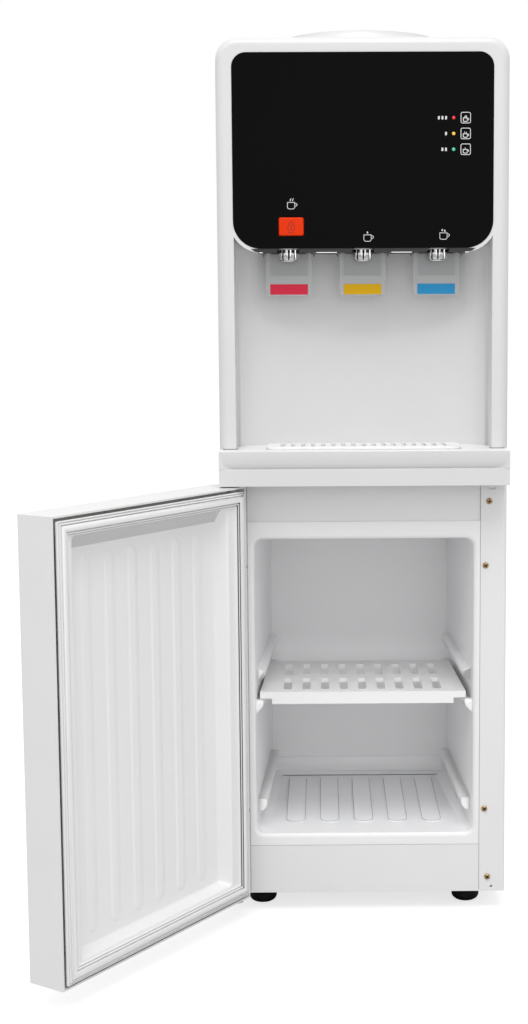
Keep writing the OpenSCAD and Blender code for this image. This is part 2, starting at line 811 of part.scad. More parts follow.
module splash_back() {
    depth = head_out + bay_y + 2 * wall;
    front = front_out + 3 + snug;
    color("whitesmoke") seat() difference() {
        intersection() {
            upright(front, depth) bay_opening(wall - snug);
            translate([0, 0, ledge_top]) linear_extrude(plate_z) difference() {
                bay_plan(-wall);
                translate([-bay_w, front_out - 3 * cut]) square([2 * bay_w, 3 * cut + 3 + snug]);
            }
        }
        intersection() {
            upright(front - cut, depth + 2 * cut) bay_opening(0);
            translate([0, 0, ledge_top - cut]) linear_extrude(plate_z) bay_plan(0);
        }
        translate([-bay_w / 2 + 26, front_out, plate_z])
            cube([bay_w - 52, depth + 10, 60]);
    }
}

module tap_plate() {
    w = bay_w - 52;
    pocket = snug;
    color("#4a4a4c") seat() difference() {
        union() {
            translate([0, 0, plate_z]) linear_extrude(plate_t)
                intersection() {
                    bay_plan(pocket);
                    translate([-w / 2, front_out]) square([w, head_out + bay_y]);
                }
            translate([-w / 2, front_out, plate_z]) cube([w, 3, panel_rim]);
        }
        for (i = [0 : 2]) {
            translate([tap_x(i), tap_y, plate_z - cut])
                cylinder(r = spout_r + run, h = plate_t + 2 * cut);
            for (side = [-1, 1])
                translate([tap_x(i) + side * (lever_w / 2 - 4) - 4.5, tap_y + lever_y - 1,
                    plate_z - cut])
                    cube([9, lever_t + 6, plate_t + 2 * cut]);
        }
    }
}

module tap_bodies() {
    color("ivory") seat()
        for (i = [0 : 2])
            translate([tap_x(i), tap_y, plate_z + plate_t]) difference() {
                union() {
                    cylinder(r = 12, h = 34);
                    translate([0, 0, 34]) cylinder(r1 = 12, r2 = 8, h = 4);
                    translate([0, 0, 24]) rotate([-90, 0, 0]) cylinder(r = hose_r, h = inlet_l);
                    translate([-15, -4, 0]) cube([30, 8, 3]);
                    translate([-14, lever_y + lever_t / 2, lever_pin_z - plate_t])
                        rotate([0, 90, 0]) cylinder(r = 4.5, h = 28);
                    translate([-5, 4, lever_pin_z - plate_t - 3]) cube([10, lever_y - 3, 6]);
                }
                translate([-30, lever_y + lever_t / 2, lever_pin_z - plate_t])
                    rotate([0, 90, 0]) cylinder(r = lever_pin_r, h = 60);
                translate([0, 0, -cut]) cylinder(r = spout_bore, h = 10);
            }
}

module spouts() {
    rim = 1.6;
    flutes = 12;
    color("silver") seat()
        for (i = [0 : 2])
            translate([tap_x(i), tap_y, plate_z]) difference() {
                union() {
                    translate([0, 0, -spout_drop + 2.6]) cylinder(r = spout_r, h = spout_drop + 0.4);
                    translate([0, 0, -spout_drop + rim])
                        cylinder(r1 = spout_r - 2, r2 = spout_r, h = 1);
                    translate([0, 0, -spout_drop]) cylinder(r = spout_r - 2.8, h = rim);
                }
                translate([0, 0, -spout_drop - cut]) cylinder(r = spout_bore, h = 40);
                for (turn = [0 : 360 / flutes : 359])
                    rotate(turn + 180 / flutes) translate([spout_r + 0.7, 0, -spout_drop - cut])
                        cylinder(r = 1.5, h = spout_drop - 1.5);
            }
}

module lever_pins() {
    color("silver") seat()
        for (i = [0 : 2])
            translate([tap_x(i) - lever_w / 2 + 1, tap_y + lever_y + lever_t / 2,
                plate_z + lever_pin_z])
                rotate([0, 90, 0]) cylinder(r = lever_pin_r, h = lever_w - 2);
}

module lever(i) {
    arm_w = 6;
    arm_z = lever_drop - 1;
    color("#c9cacc") seat() translate([tap_x(i), tap_y + lever_y, plate_z]) difference() {
        union() {
            upright(0, lever_t)
                translate([0, -lever_drop]) difference() {
                    union() {
                        round_rect(lever_w, arm_z, 5, 1);
                        for (side = [-1, 1])
                            translate([side * (lever_w / 2 - 4) - arm_w / 2, arm_z - 2])
                                square([arm_w, lever_pin_z + 3]);
                    }
                }
            for (side = [-1, 1])
                translate([side * (lever_w / 2 - 4) - arm_w / 2, lever_t / 2, lever_pin_z])
                    rotate([0, 90, 0]) cylinder(r = 4.5, h = arm_w);
        }
        for (side = [-1, 1])
            translate([side * (lever_w / 2 - 4) - arm_w / 2 - cut, lever_t / 2, lever_pin_z])
                rotate([0, 90, 0]) cylinder(r = lever_pin_r + run, h = arm_w + 2 * cut);
        // window recessed behind the spout, and the seat of the coloured strip
        upright(-cut, cut + 1.2) translate([0, -22]) round_rect(41, 40, 1.5, 0);
        upright(-cut, cut + 0.8) translate([0, -lever_drop + 1.2]) square_on_x(strip_w, strip_h);
        // notch clear of the tap's boss
        translate([-15.5, -cut, 1]) cube([31, 2 * cut + lever_t, 30]);
    }
}
module hot_lever() lever(0);
module warm_lever() lever(1);
module cold_lever() lever(2);

// Rectangle standing on y = 0 and centred on x
module square_on_x(w, h) {
    translate([-w / 2, 0]) square([w, h]);
}

module strip(i, paint) {
    color(paint) seat() translate([tap_x(i), tap_y + lever_y, plate_z])
        upright(-0.2, 1) translate([0, -lever_drop + 1.2]) square_on_x(strip_w, strip_h);
}
module hot_strip() strip(0, "#e0405a");
module warm_strip() strip(1, "#d8a820");
module cold_strip() strip(2, "#3a8ec4");

module control_panel() {
    color("#151515") seat() difference() {
        upright(panel_y, panel_t) panel_outline(0);
        upright(panel_y - cut, panel_t + 2 * cut) {
            translate([-button_x, panel_z + button_z - snug])
                square_on_x(button_w + 2 * snug, button_h + 2 * snug);
            for (i = [0 : 2])
                translate([lamp_x, panel_z + lamp_z + i * lamp_pitch]) circle(lamp_r);
        }
    }
}

module lock_button() {
    back = panel_y + panel_t + snug;
    color("#e2400c") seat() {
        upright(panel_y - 1.2, panel_t + 2.7) translate([-button_x, panel_z + button_z])
            round_rect(button_w, button_h, 1.5, 1.5);
        upright(back, 1.2) translate([-button_x, panel_z + button_z - 2])
            round_rect(button_w + 4, button_h + 4, 1, 1);
    }
}

module lamp_lenses() {
    paints = ["#36b070", "#d8b030", "#d03030"];
    seat() for (i = [0 : 2])
        color(paints[i]) upright(panel_y - 0.3, board_y - panel_y + 0.3)
            translate([lamp_x, panel_z + lamp_z + i * lamp_pitch]) circle(lamp_r);
}

module control_board() {
    left = -panel_w / 2 + 38;
    right = panel_w / 2 - 28;
    color("seagreen") seat() difference() {
        union() {
            upright(board_y, board_t) translate([left, panel_z + 8]) square([right - left, 140]);
            // posts on the panel's back
            for (x = [left + 6, right - 6], z = [panel_z + 44, panel_z + 140])
                upright(panel_y + panel_t, board_y - panel_y - panel_t)
                    translate([x, z]) circle(3);
            // parts on its back and the switch behind the lock button
            upright(board_y + board_t, 10) for (x = [-60, -20, 30])
                translate([x, panel_z + 70]) square([22, 18]);
            upright(board_y - 0.9, 0.9) translate([-button_x - 3, panel_z + button_z + 7])
                square([6, 6]);
        }
    }
}

module power_board() {
    x = -half_w + sheet;
    color("seagreen") seat() {
        translate([x + 6, 90, ledge_top + 60]) cube([board_t, 120, 90]);
        for (y = [98, 202], z = [68, 142])
            translate([x, y, ledge_top + z]) rotate([0, 90, 0]) cylinder(r = 3, h = 6);
        translate([x + 6 + board_t, 100, ledge_top + 70]) cube([24, 36, 30]);
        for (y = [150, 176])
            translate([x + 6 + board_t, y, ledge_top + 84]) rotate([0, 90, 0]) cylinder(r = 9, h = 22);
        translate([x + 6 + board_t, 142, ledge_top + 112]) cube([12, 52, 24]);
    }
}

module top_cover() {
    color("white") seat() difference() {
        intersection() {
            upright(0, body_d) translate([0, head_top - lid_h - 30])
                round_rect(body_w - 1, lid_h + 30, 0, head_r);
            translate([-half_w, -cut, head_top - lid_h]) cube([body_w, body_d + 2 * cut, lid_h + cut]);
        }
        intersection() {
            upright(wall, body_d - 2 * wall) translate([0, head_top - lid_h - 40])
                round_rect(body_w - 1 - 2 * wall, lid_h + 40 - wall, 0, head_r - wall);
            translate([-half_w, -cut, head_top - lid_h - cut])
                cube([body_w, body_d + 2 * cut, lid_h]);
        }
        // window to the front housing, and the seat of the collar
        translate([-head_w / 2 + 12, -cut, head_top - lid_h - cut])
            cube([head_w - 24, wall + 2 * cut, lid_h - 6]);
        translate([0, bottle_y, head_top - wall - cut])
            cylinder(r = well_r + wall + 0.5, h = wall + 2 * cut, $fn = 96);
    }
}

module bottle_collar() {
    floor_r = 30;
    cone_h = 10;
    color("whitesmoke") seat() translate([0, bottle_y, head_top]) difference() {
        rotate_extrude($fn = 96) {
            // rim with a concave flare down to the top cover
            difference() {
                translate([well_r, 0]) square([rim_r - well_r + flare_r, rim_h]);
                translate([rim_r + flare_r, flare_r + 0.8]) circle(flare_r);
            }
            // well, floor cone and neck ring
            translate([well_r, -well_d + cone_h]) square([wall, well_d]);
            polygon([[well_r + wall, -well_d + cone_h + wall], [well_r, -well_d + cone_h + wall],
                [floor_r, -well_d + wall], [0, -well_d + wall], [0, -well_d],
                [floor_r, -well_d], [well_r + wall, -well_d + cone_h]]);
        }
        translate([0, 0, -well_d - cut]) cylinder(r = 5, h = wall + 2 * cut);
    }
}

module bottle_probe() {
    color("white") seat() translate([0, bottle_y, head_top - well_d + wall]) difference() {
        union() {
            cylinder(r = 22, h = 3);
            cylinder(r = probe_r, h = probe_h - probe_r);
            translate([0, 0, probe_h - probe_r]) sphere(probe_r);
            cylinder(r1 = 14, r2 = probe_r, h = 9);
        }
        translate([0, 0, -cut]) cylinder(r = 4, h = probe_h - 12);
        for (turn = [0, 90])
            rotate(turn) translate([0, 0, probe_h - 19]) cube([40, 4, 9], center = true);
    }
}

module cold_tank() {
    color("silver") seat() translate([0, bottle_y, cold_z]) difference() {
        union() {
            cylinder(r = cold_r, h = cold_h);
            translate([0, 0, cold_h]) cylinder(r = 24, h = head_top - well_d - cold_z - cold_h);
            translate([-25, 0, cold_h / 2 - 25]) cube([50, cold_r + 3, 50]);
            for (side = [-1, 1])
                translate([side * 30, 0, 30]) rotate([90, 0, 0])
                    cylinder(r = hose_r, h = cold_r + foam_t + stub_l);
        }
        translate([0, 0, 2]) cylinder(r = cold_r - 1.5, h = cold_h - 4);
        translate([0, 0, cold_h - 4]) cylinder(r = 8, h = 60);
    }
}

module cold_tank_foam() {
    color("ghostwhite") seat() translate([0, bottle_y, cold_z]) difference() {
        translate([0, 0, -foam_t]) cylinder(r = cold_r + foam_t, h = cold_h + foam_t);
        cylinder(r = cold_r, h = cold_h + cut);
        translate([-25, 0, cold_h / 2 - 25]) cube([50, 200, 50]);
        for (side = [-1, 1])
            translate([side * 30, 0, 30]) rotate([90, 0, 0]) cylinder(r = hose_r, h = 200);
    }
}

module hot_tank() {
    color("silver") seat() translate([0, hot_y, hot_z]) difference() {
        union() {
            cylinder(r = hot_r, h = hot_h);
            translate([0, 0, hot_h]) cylinder(r = hose_r, h = wrap_t + 10);
            translate([0, 0, -wrap_t - 6]) cylinder(r = hose_r, h = wrap_t + 6);
            for (turn = [90 : 120 : 330])
                rotate(turn) translate([hot_r - 8, -5, -hot_z + ledge_z + sheet])
                    cube([3, 10, hot_z - ledge_z - sheet]);
        }
        translate([0, 0, 1.5]) cylinder(r = hot_r - 1.5, h = hot_h - 3);
    }
}

module hot_tank_wrap() {
    color("gray") seat() translate([0, hot_y, hot_z]) difference() {
        cylinder(r = hot_r + wrap_t, h = hot_h - 8);
        translate([0, 0, -cut]) cylinder(r = hot_r, h = hot_h + 2 * cut);
    }
}

module heating_element() {
    bend = 18;
    color("dimgray") seat() translate([0, hot_y, hot_z + 1.5]) {
        for (side = [-1, 1]) translate([side * bend, 0, 0]) cylinder(r = 4, h = hot_h - 60);
        translate([0, 0, hot_h - 60]) rotate([90, 0, 0])
            rotate_extrude(angle = 180) translate([bend, 0]) circle(4);
    }
}

module thermostats() {
    color("black") seat()
        for (side = [-1, 1])
            translate([side * 26, hot_y, hot_z + hot_h]) {
                cylinder(r = 8, h = 6);
                translate([-2, -6, 6]) cube([4, 12, 6]);
            }
}

module cooling_module() {
    y = bottle_y + cold_r + 3;
    color("lightslategray") seat() {
        translate([-25, y, fan_z - 25]) cube([50, foam_t + 2, 50]);
        translate([-20, y + foam_t + 2, fan_z - 20]) cube([40, 4, 40]);
    }
}

module heat_sink() {
    y = bottle_y + cold_r + 3 + foam_t + 6;
    fins_d = fan_y - y - 6;
    color("silver") seat() {
        translate([-fan_w / 2, y, fan_z - fan_w / 2]) cube([fan_w, 6, fan_w]);
        for (i = [0 : 12])
            translate([-fan_w / 2 + i * (fan_w - 1.6) / 12, y + 6, fan_z - fan_w / 2])
                cube([1.6, fins_d, fan_w]);
    }
}

module fan_frame() {
    duct_r = fan_w / 2 - 3;
    color("#262626") seat() translate([0, fan_y, fan_z]) rotate([-90, 0, 0]) difference() {
        union() {
            difference() {
                translate([-fan_w / 2, -fan_w / 2, 0]) cube([fan_w, fan_w, fan_t]);
                translate([0, 0, -cut]) cylinder(r = duct_r, h = fan_t + 2 * cut);
            }
            cylinder(r = 16, h = 3);
            for (turn = [45 : 90 : 315])
                rotate(turn) translate([14, -2, 0]) cube([duct_r - 12, 4, 3]);
            cylinder(r = 2, h = fan_t - 5);
        }
        for (x = [-1, 1], y = [-1, 1])
            translate([x * (fan_w / 2 - 5), y * (fan_w / 2 - 5), -cut])
                cylinder(r = 2.2, h = fan_t + 2 * cut);
    }
}

module fan_rotor() {
    hub_r = 17;
    tip_r = fan_w / 2 - 4.5;
    depth = fan_t - 6;
    color("#303030") seat() translate([0, fan_y, fan_z]) rotate([-90, 0, 0])
        translate([0, 0, 3.5]) difference() {
            union() {
                cylinder(r = hub_r, h = depth);
                intersection() {
                    for (i = [0 : blades - 1])
                        rotate(i * 360 / blades) translate([hub_r - 2, 0, depth / 2])
                            rotate([38, 0, 0]) translate([0, -8.5, -0.8]) cube([tip_r, 17, 1.6]);
                    cylinder(r = tip_r, h = depth);
                }
            }
            translate([0, 0, -cut]) cylinder(r = 2 + run, h = depth - 1.5);
        }
}

module water_hoses() {
    inlet_z = plate_z + plate_t + 24;
    tap_end = tap_y + inlet_l;
    hose_y = tap_end + hose_r + 2;
    tank_y = bottle_y - cold_r - foam_t - stub_l;
    cold_out = cold_z + 30;
    color("lightblue") seat() {
        run_of([[tap_x(0), tap_end, inlet_z], [tap_x(0), hose_y, inlet_z],
            [tap_x(0), hose_y, tank_shelf_z - 16], [tap_x(0), hot_y, tank_shelf_z - 16],
            [0, hot_y, tank_shelf_z - 16], [0, hot_y, hot_z + hot_h + wrap_t + 10]], hose_r);
        run_of([[tap_x(1), tap_end, inlet_z], [0, hose_y, inlet_z], [0, hose_y, cold_out],
            [-30, hose_y, cold_out], [-30, tank_y, cold_out]], hose_r);
        run_of([[tap_x(2), tap_end, inlet_z], [tap_x(2), hose_y, inlet_z],
            [tap_x(2), hose_y, cold_out], [30, hose_y, cold_out], [30, tank_y, cold_out]], hose_r);
    }
}

module drain_pipe() {
    z = hot_z - wrap_t - 6;
    color("lightblue") seat() {
        run_of([[0, hot_y, z], [0, hot_y, drain_z], [drain_x, hot_y, drain_z],
            [drain_x, body_d - 2 * sheet - 1, drain_z]], hose_r);
        translate([drain_x, body_d - 2 * sheet, drain_z]) rotate([-90, 0, 0]) difference() {
            union() {
                cylinder(r = 9, h = 14);
                translate([0, 0, -4]) cylinder(r = 12, h = 4);
            }
            translate([0, 0, 2]) cylinder(r = 5, h = 14);
        }
    }
}

module drain_cap() {
    color("white") seat() translate([drain_x, body_d - sheet, drain_z]) rotate([-90, 0, 0])
        difference() {
            union() {
                cylinder(r = 13, h = 15);
                for (turn = [0 : 30 : 150])
                    rotate(turn) translate([-13.6, -1.2, 0]) cube([27.2, 2.4, 15]);
            }
            translate([0, 0, -cut]) cylinder(r = 9, h = 13 + cut);
        }
}

module cord_gland() {
    color("black") seat() translate([gland_x, body_d - 2 * sheet, gland_z]) rotate([-90, 0, 0])
        difference() {
            union() {
                translate([0, 0, -4]) cylinder(r = 8, h = 4 + sheet);
                translate([0, 0, sheet]) cylinder(r = 11, h = 3);
                translate([0, 0, -6]) cylinder(r = 10, h = 6);
            }
            translate([0, 0, -6 - cut]) cylinder(r = 4, h = 12 + cut);
        }
}

module switch_bezel() {
    y = body_d - sheet;
    color("#202020") seat() difference() {
        union() {
            upright(y, 2) translate([switch_x, switch_z - 15]) round_rect(40, 30, 2, 2);
            upright(y - 14, 14) translate([switch_x, switch_z - 12]) square_on_x(34, 24);
        }
        for (side = [-1, 1])
            translate([switch_x + side * 7.8, 0, 0])
                upright(y - 12, 20) translate([0, switch_z - rocker_h / 2 - snug])
                square_on_x(rocker_w + 2 * snug, rocker_h + 2 * snug);
        translate([switch_x, y - 4, switch_z]) rotate([0, 90, 0])
            cylinder(r = 1.5, h = 32, center = true);
    }
}

module rocker(side, paint) {
    y = body_d - sheet;
    tilt_r = rocker_h / 2 - 1;
    color(paint) seat() translate([switch_x + side * 7.8, y - 4, switch_z]) {
        rotate([rocker_tilt, 0, 0]) difference() {
            sideways(-rocker_w / 2, rocker_w) union() {
                polygon([[-2.5, -3], [2, -tilt_r], [4.6, -tilt_r], [5.8, 0], [4.6, tilt_r],
                    [2, tilt_r], [-2.5, 3]]);
            }
        }
        rotate([0, 90, 0]) cylinder(r = 1.5 - run, h = rocker_w + 2 * snug + 1.4, center = true);
    }
}
module hot_rocker() rocker(-1, "#c02020");
module cold_rocker() rocker(1, "#208040");

// Plan of the shelf, wide in front and drafted like the liner's sides
module shelf_plan(inset) {
    draft = liner_draft * shelf_d / liner_d - 0.4;
    front = shelf_w / 2 - inset;
    polygon([[-front, inset], [front, inset], [front - draft, shelf_d - inset],
        [-front + draft, shelf_d - inset]]);
}

module shelf() {
    plate_h = 7.6;
    columns = 9;
    color("white") seat() translate([-1.2, shelf_y, shelf_z + snug]) difference() {
        union() {
            linear_extrude(plate_h) shelf_plan(0);
            translate([-shelf_w / 2 + 14, 0, plate_h - shelf_lip]) cube([shelf_w - 28, 3, shelf_lip - 1]);
        }
        translate([0, 0, -cut]) linear_extrude(plate_h - shelf_t + cut) shelf_plan(3);
        for (row = [0 : 1], column = [0 : columns - 1])
            translate([slot_pitch * (column - (columns - 1) / 2), 14 + slot_l / 2 + row * (slot_l + 21),
                -cut])
                linear_extrude(plate_h + 2 * cut)
                translate([0, -slot_l / 2]) round_rect(slot_w, slot_l, 1.5, 1.5);
    }
}

// Turns a door piece from its shut place to the open one about the hinge pins
module door_pose() {
    seat() translate([hinge_x, -pin_out, 0]) rotate([0, 0, -door_open])
        translate([-hinge_x, pin_out, 0]) children();
}

module door_plan(inset) {
    r = 3 - min(inset, 1.5);
    translate([0, door_front + inset])
        round_rect(door_w - 2 * inset, door_t - 2 * inset, r, 0);
}

module door_skin() {
    color("whitesmoke") door_pose() difference() {
        translate([0, 0, door_z]) linear_extrude(door_h) door_plan(0);
        translate([0, 0, door_z + door_wall]) linear_extrude(door_h - 2 * door_wall)
            door_plan(door_wall);
        upright(-door_back - door_wall - cut, door_wall + 2 * cut) door_frame(door_wall);
        for (z = [door_z - cut, door_z + door_h - bush_l])
            translate([hinge_x, -pin_out, z]) cylinder(r = bush_r, h = bush_l + cut);
    }
}

module hinge_bushes() {
    color("dimgray") door_pose()
        for (z = [door_z, door_z + door_h - bush_l + door_gap - hinge_t])
            translate([hinge_x, -pin_out, z]) difference() {
                cylinder(r = bush_r, h = bush_l - (door_gap - hinge_t));
                translate([0, 0, -cut]) cylinder(r = pin_r + run, h = bush_l + 2 * cut);
            }
}

// Dish pressed into the door's liner: its mouth at the back, its floor deeper in the door
module dish(grow) {
    deep = 14;
    hull($fn = 32) {
        upright(-door_back - 0.1 + (grow > 0 ? 0 : cut), 0.1)
            translate([3, door_z + 23 - grow])
            round_rect(door_w - 60 + 2 * grow, door_h - 38 + 2 * grow, 10 + grow, 10 + grow);
        upright(-door_back - deep - grow, 0.1)
            translate([3, door_z + 26 - grow])
            round_rect(door_w - 76 + 2 * grow, door_h - 60 + 2 * grow, 14 + grow, 14 + grow);
    }
}

// Outline of the door in X and Z, set in from its edges
module door_frame(inset) {
    translate([0, door_z + inset]) square_on_x(door_w - 2 * inset, door_h - 2 * inset);
}

module door_liner() {
    rib_w = 16;
    rib_pitch = 36;
    deep = door_back + 14;
    channel_d = 6;
    channel_w = 2.7;
    rim_y = -door_back - channel_d - door_wall;
    color("whitesmoke") door_pose() union() {
        difference() {
            union() {
                difference() {
                    upright(rim_y, channel_d + door_wall) door_frame(door_wall + channel_w);
                    upright(rim_y - cut, channel_d + cut) door_frame(2 * door_wall + channel_w);
                }
                difference() {
                    upright(rim_y, door_wall) door_frame(door_wall);
                    upright(rim_y - cut, door_wall + 2 * cut) door_frame(2 * door_wall + channel_w);
                }
                dish(door_wall);
            }
            dish(0);
            for (z = [door_z, door_z + door_h - bush_l - cut])
                translate([hinge_x, -pin_out, z]) cylinder(r = bush_r, h = bush_l + cut);
        }
        for (i = [-2.5 : 2.5])
            upright(-deep - 0.2, 2.2)
                translate([3 + rib_pitch * i, door_z + 39 + 194]) slot(rib_w, 388);
    }
}

module door_core() {
    front = door_front + door_wall;
    core_side = door_wall + 1.5;
    core_t = door_t - 14 - 2 * door_wall - 0.2;
    color("ghostwhite") door_pose() difference() {
        translate([0, 0, door_z + door_wall]) linear_extrude(door_h - 2 * door_wall)
            translate([0, front]) square_on_x(door_w - 2 * core_side, core_t);
        for (z = [door_z, door_z + door_h - bush_l - cut])
            translate([hinge_x, -pin_out, z]) cylinder(r = bush_r, h = bush_l + cut);
    }
}

module gasket_frame(inset, w) {
    difference() {
        translate([0, door_z + inset]) square_on_x(door_w - 2 * inset, door_h - 2 * inset);
        translate([0, door_z + inset + w])
            square_on_x(door_w - 2 * inset - 2 * w, door_h - 2 * inset - 2 * w);
    }
}

module door_gasket() {
    bead = 4;
    color("white") door_pose() {
        upright(-door_back, gasket_t - 2) gasket_frame(gasket_inset, gasket_w);
        upright(-door_back + gasket_t - 2, 2) {
            gasket_frame(gasket_inset, gasket_w - 6);
            gasket_frame(gasket_inset + gasket_w - bead, bead);
        }
    }
}

base_pan();
feet();
left_side_panel();
right_side_panel();
rear_panel();
plinth_panel();
upper_crossmember();
mid_deck();
tank_shelf();
cabinet_liner();
cabinet_screws();
top_hinge_plate();
bottom_hinge_plate();
tray_housing();
front_housing();
splash_back();
control_panel();
tap_plate();
tap_bodies();
spouts();
lever_pins();
top_cover();
bottle_collar();
bottle_probe();
cold_tank();
cold_tank_foam();
hot_tank();
hot_tank_wrap();
heating_element();
thermostats();
cooling_module();
heat_sink();
fan_frame();
fan_rotor();
water_hoses();
drain_pipe();
drain_cap();
control_board();
power_board();
lamp_lenses();
cord_gland();
switch_bezel();
hot_rocker();
cold_rocker();
shelf();
drip_tray();
drip_grille();
door_skin();
door_liner();
door_gasket();
door_core();
hinge_bushes();
hot_lever();
warm_lever();
cold_lever();
hot_strip();
warm_strip();
cold_strip();
lock_button();
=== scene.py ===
# %% [markdown]
# # A water dispenser with its cabinet door open
# The dispenser is mostly white: powder-coated steel sides, moulded ABS round the taps and a
# vacuum-formed cabinet. White objects are told apart by their edges and by how gloss and grain
# catch a soft light, so this lesson spends its time on rounded edges and quiet finishes.

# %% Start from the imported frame
import json
import math

import bmesh
import bpy
from mathutils import Matrix, Vector


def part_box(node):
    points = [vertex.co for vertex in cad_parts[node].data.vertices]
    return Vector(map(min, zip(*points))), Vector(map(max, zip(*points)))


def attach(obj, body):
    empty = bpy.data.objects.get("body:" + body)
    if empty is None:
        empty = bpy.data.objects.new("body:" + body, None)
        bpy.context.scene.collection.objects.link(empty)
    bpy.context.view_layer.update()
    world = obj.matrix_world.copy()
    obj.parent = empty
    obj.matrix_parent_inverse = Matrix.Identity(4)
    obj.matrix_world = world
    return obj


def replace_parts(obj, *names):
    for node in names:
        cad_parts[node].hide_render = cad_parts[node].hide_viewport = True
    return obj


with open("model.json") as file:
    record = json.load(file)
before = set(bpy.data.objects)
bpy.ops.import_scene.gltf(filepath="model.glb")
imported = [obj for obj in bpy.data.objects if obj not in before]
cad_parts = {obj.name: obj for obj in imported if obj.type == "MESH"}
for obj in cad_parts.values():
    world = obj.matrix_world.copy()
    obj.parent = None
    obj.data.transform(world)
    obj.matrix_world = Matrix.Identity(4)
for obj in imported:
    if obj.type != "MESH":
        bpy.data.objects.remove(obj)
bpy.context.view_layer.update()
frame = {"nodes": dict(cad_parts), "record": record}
parts = frame["nodes"]
scene = bpy.context.scene
MM = 0.001


# %% Put something in the scene
def linked(name, data):
    """A new object in the scene, made from a mesh, a lamp or a camera."""
    thing = bpy.data.objects.new(name, data)
    scene.collection.objects.link(thing)
    return thing


# %% [markdown]
# ## The camera
# The camera stood about two metres away, a little left of the middle, just below tap height, and
# looked slightly down. The picture is cropped off centre, so the lens is shifted. All numbers come
# from fitting a camera to the box edges of the cabinet, the ledge and the head.

# %% Place the camera
PICTURE_W, PICTURE_H = 528, 1024
FOCAL_PX = 1640.59
CENTRE_PX = (336.85, 499.01)
EYE = Vector((-46.26, -1981.07, 693.9)) * MM
YAW, PITCH, ROLL = math.radians(-0.5), math.radians(6.68), math.radians(-0.28)
SENSOR_MM = 36

camera_data = bpy.data.cameras.new("photo_camera")
camera_data.sensor_fit = "VERTICAL"
camera_data.sensor_height = SENSOR_MM
camera_data.lens = SENSOR_MM * FOCAL_PX / PICTURE_H
camera_data.shift_x = (PICTURE_W / 2 - CENTRE_PX[0]) / PICTURE_H
camera_data.shift_y = (CENTRE_PX[1] - PICTURE_H / 2) / PICTURE_H
camera_data.clip_start = 0.05
camera = linked("photo_camera", camera_data)
turn = (
    Matrix.Rotation(YAW, 3, "Z")
    @ Matrix.Rotation(math.pi / 2 - PITCH, 3, "X")
    @ Matrix.Rotation(ROLL, 3, "Z")
)
camera.matrix_world = Matrix.Translation(EYE) @ turn.to_4x4()
scene.camera = camera
scene.view_settings.view_transform = "Standard"
print("lens", round(camera_data.lens, 2), "mm")

# %% [markdown]
# ## Two small helpers for node trees
# Colours are written as hex values, the way a paint chip is. Blender works in linear light, so
# one function turns them. Another adds a node, sets it up and links it in one line. It serves
# materials, the world and Geometry Nodes alike.


# %% Colour and node helpers
def paint(hex_colour):
    """Linear RGBA of an sRGB hex colour."""
    channels = [int(hex_colour[i : i + 2], 16) / 255 for i in (1, 3, 5)]
    linear = [c / 12.92 if c <= 0.04045 else ((c + 0.055) / 1.055) ** 2.4 for c in channels]
    return (*linear, 1.0)


def add(tree, kind, settings=None, **links):
    """Adds a node. settings are its properties, and links are socket values or other sockets."""
    made = tree.nodes.new(kind)
    for key, value in (settings or {}).items():
        setattr(made, key, value)
    for key, value in links.items():
        socket = made.inputs[int(key[1:])] if key[0] == "_" else made.inputs[key.replace("_", " ")]
        if isinstance(value, bpy.types.NodeSocket):
            tree.links.new(value, socket)
        else:
            socket.default_value = value
    return made


# %% [markdown]
# ## A pale studio
# The object stands on a white floor that has no visible horizon. The floor is a matt white that
# also glows a little towards the camera, which lifts it to white and keeps the soft shadow.
# The world is an even white. Large square lamps above and in front give the forms their sides.

# %% Make the white world
world = bpy.data.worlds.new("white_studio")
scene.world = world
world.use_nodes = True
sky = world.node_tree
sky.nodes.clear()
AMBIENT = 0.74
path = add(sky, "ShaderNodeLightPath")
seen = add(sky, "ShaderNodeMath", {"operation": "MAXIMUM"}, _0=path.outputs["Is Camera Ray"],
           _1=path.outputs["Is Glossy Ray"])
seen_all = add(sky, "ShaderNodeMath", {"operation": "MAXIMUM"}, _0=seen.outputs[0],
               _1=path.outputs["Is Transmission Ray"])
soft = add(sky, "ShaderNodeBackground", Color=paint("#FFFFFF"), Strength=AMBIENT)
white = add(sky, "ShaderNodeBackground", Color=paint("#FFFFFF"), Strength=1.0)
mix = add(sky, "ShaderNodeMixShader", _0=seen_all.outputs[0], _1=soft.outputs[0],
          _2=white.outputs[0])
add(sky, "ShaderNodeOutputWorld", Surface=mix.outputs[0])
print("ambient:", AMBIENT)


# %% Hang the lamps
def softbox(name, place, size, watts, target):
    """A square area lamp that faces a point."""
    data = bpy.data.lights.new(name, "AREA")
    data.shape = "SQUARE"
    data.size = size
    data.energy = watts
    aim = (Vector(target) - Vector(place)).to_track_quat("-Z", "Y")
    linked(name, data).matrix_world = Matrix.Translation(place) @ aim.to_matrix().to_4x4()


# Place, edge, watts and target, in metres
LAMPS = {
    "top_box": ((0.0, -1.5, 3.2), 1.8, 46, (0, 0, 0.5)),
    "left_box": ((-1.6, -2.2, 2.8), 1.6, 7, (0, 0, 0.5)),
    "low_box": ((0.2, -2.7, 0.95), 1.2, 5, (0, 0, 0.25)),
}
for name, spec in LAMPS.items():
    softbox(name, *spec)
print("lamps:", {name: spec[2] for name, spec in LAMPS.items()})

# %% Lay the floor
FLOOR_HALF = 12
floor_mesh = bpy.data.meshes.new("studio_floor")
floor_mesh.from_pydata([(x * FLOOR_HALF, y * FLOOR_HALF, 0)
                        for x, y in ((-1, -1), (1, -1), (1, 1), (-1, 1))], [], [(0, 1, 2, 3)])
floor = linked("studio_floor", floor_mesh)
paper = bpy.data.materials.new("seamless paper")
paper.use_nodes = True
sheet = paper.node_tree
sheet.nodes.clear()
floor_path = add(sheet, "ShaderNodeLightPath")
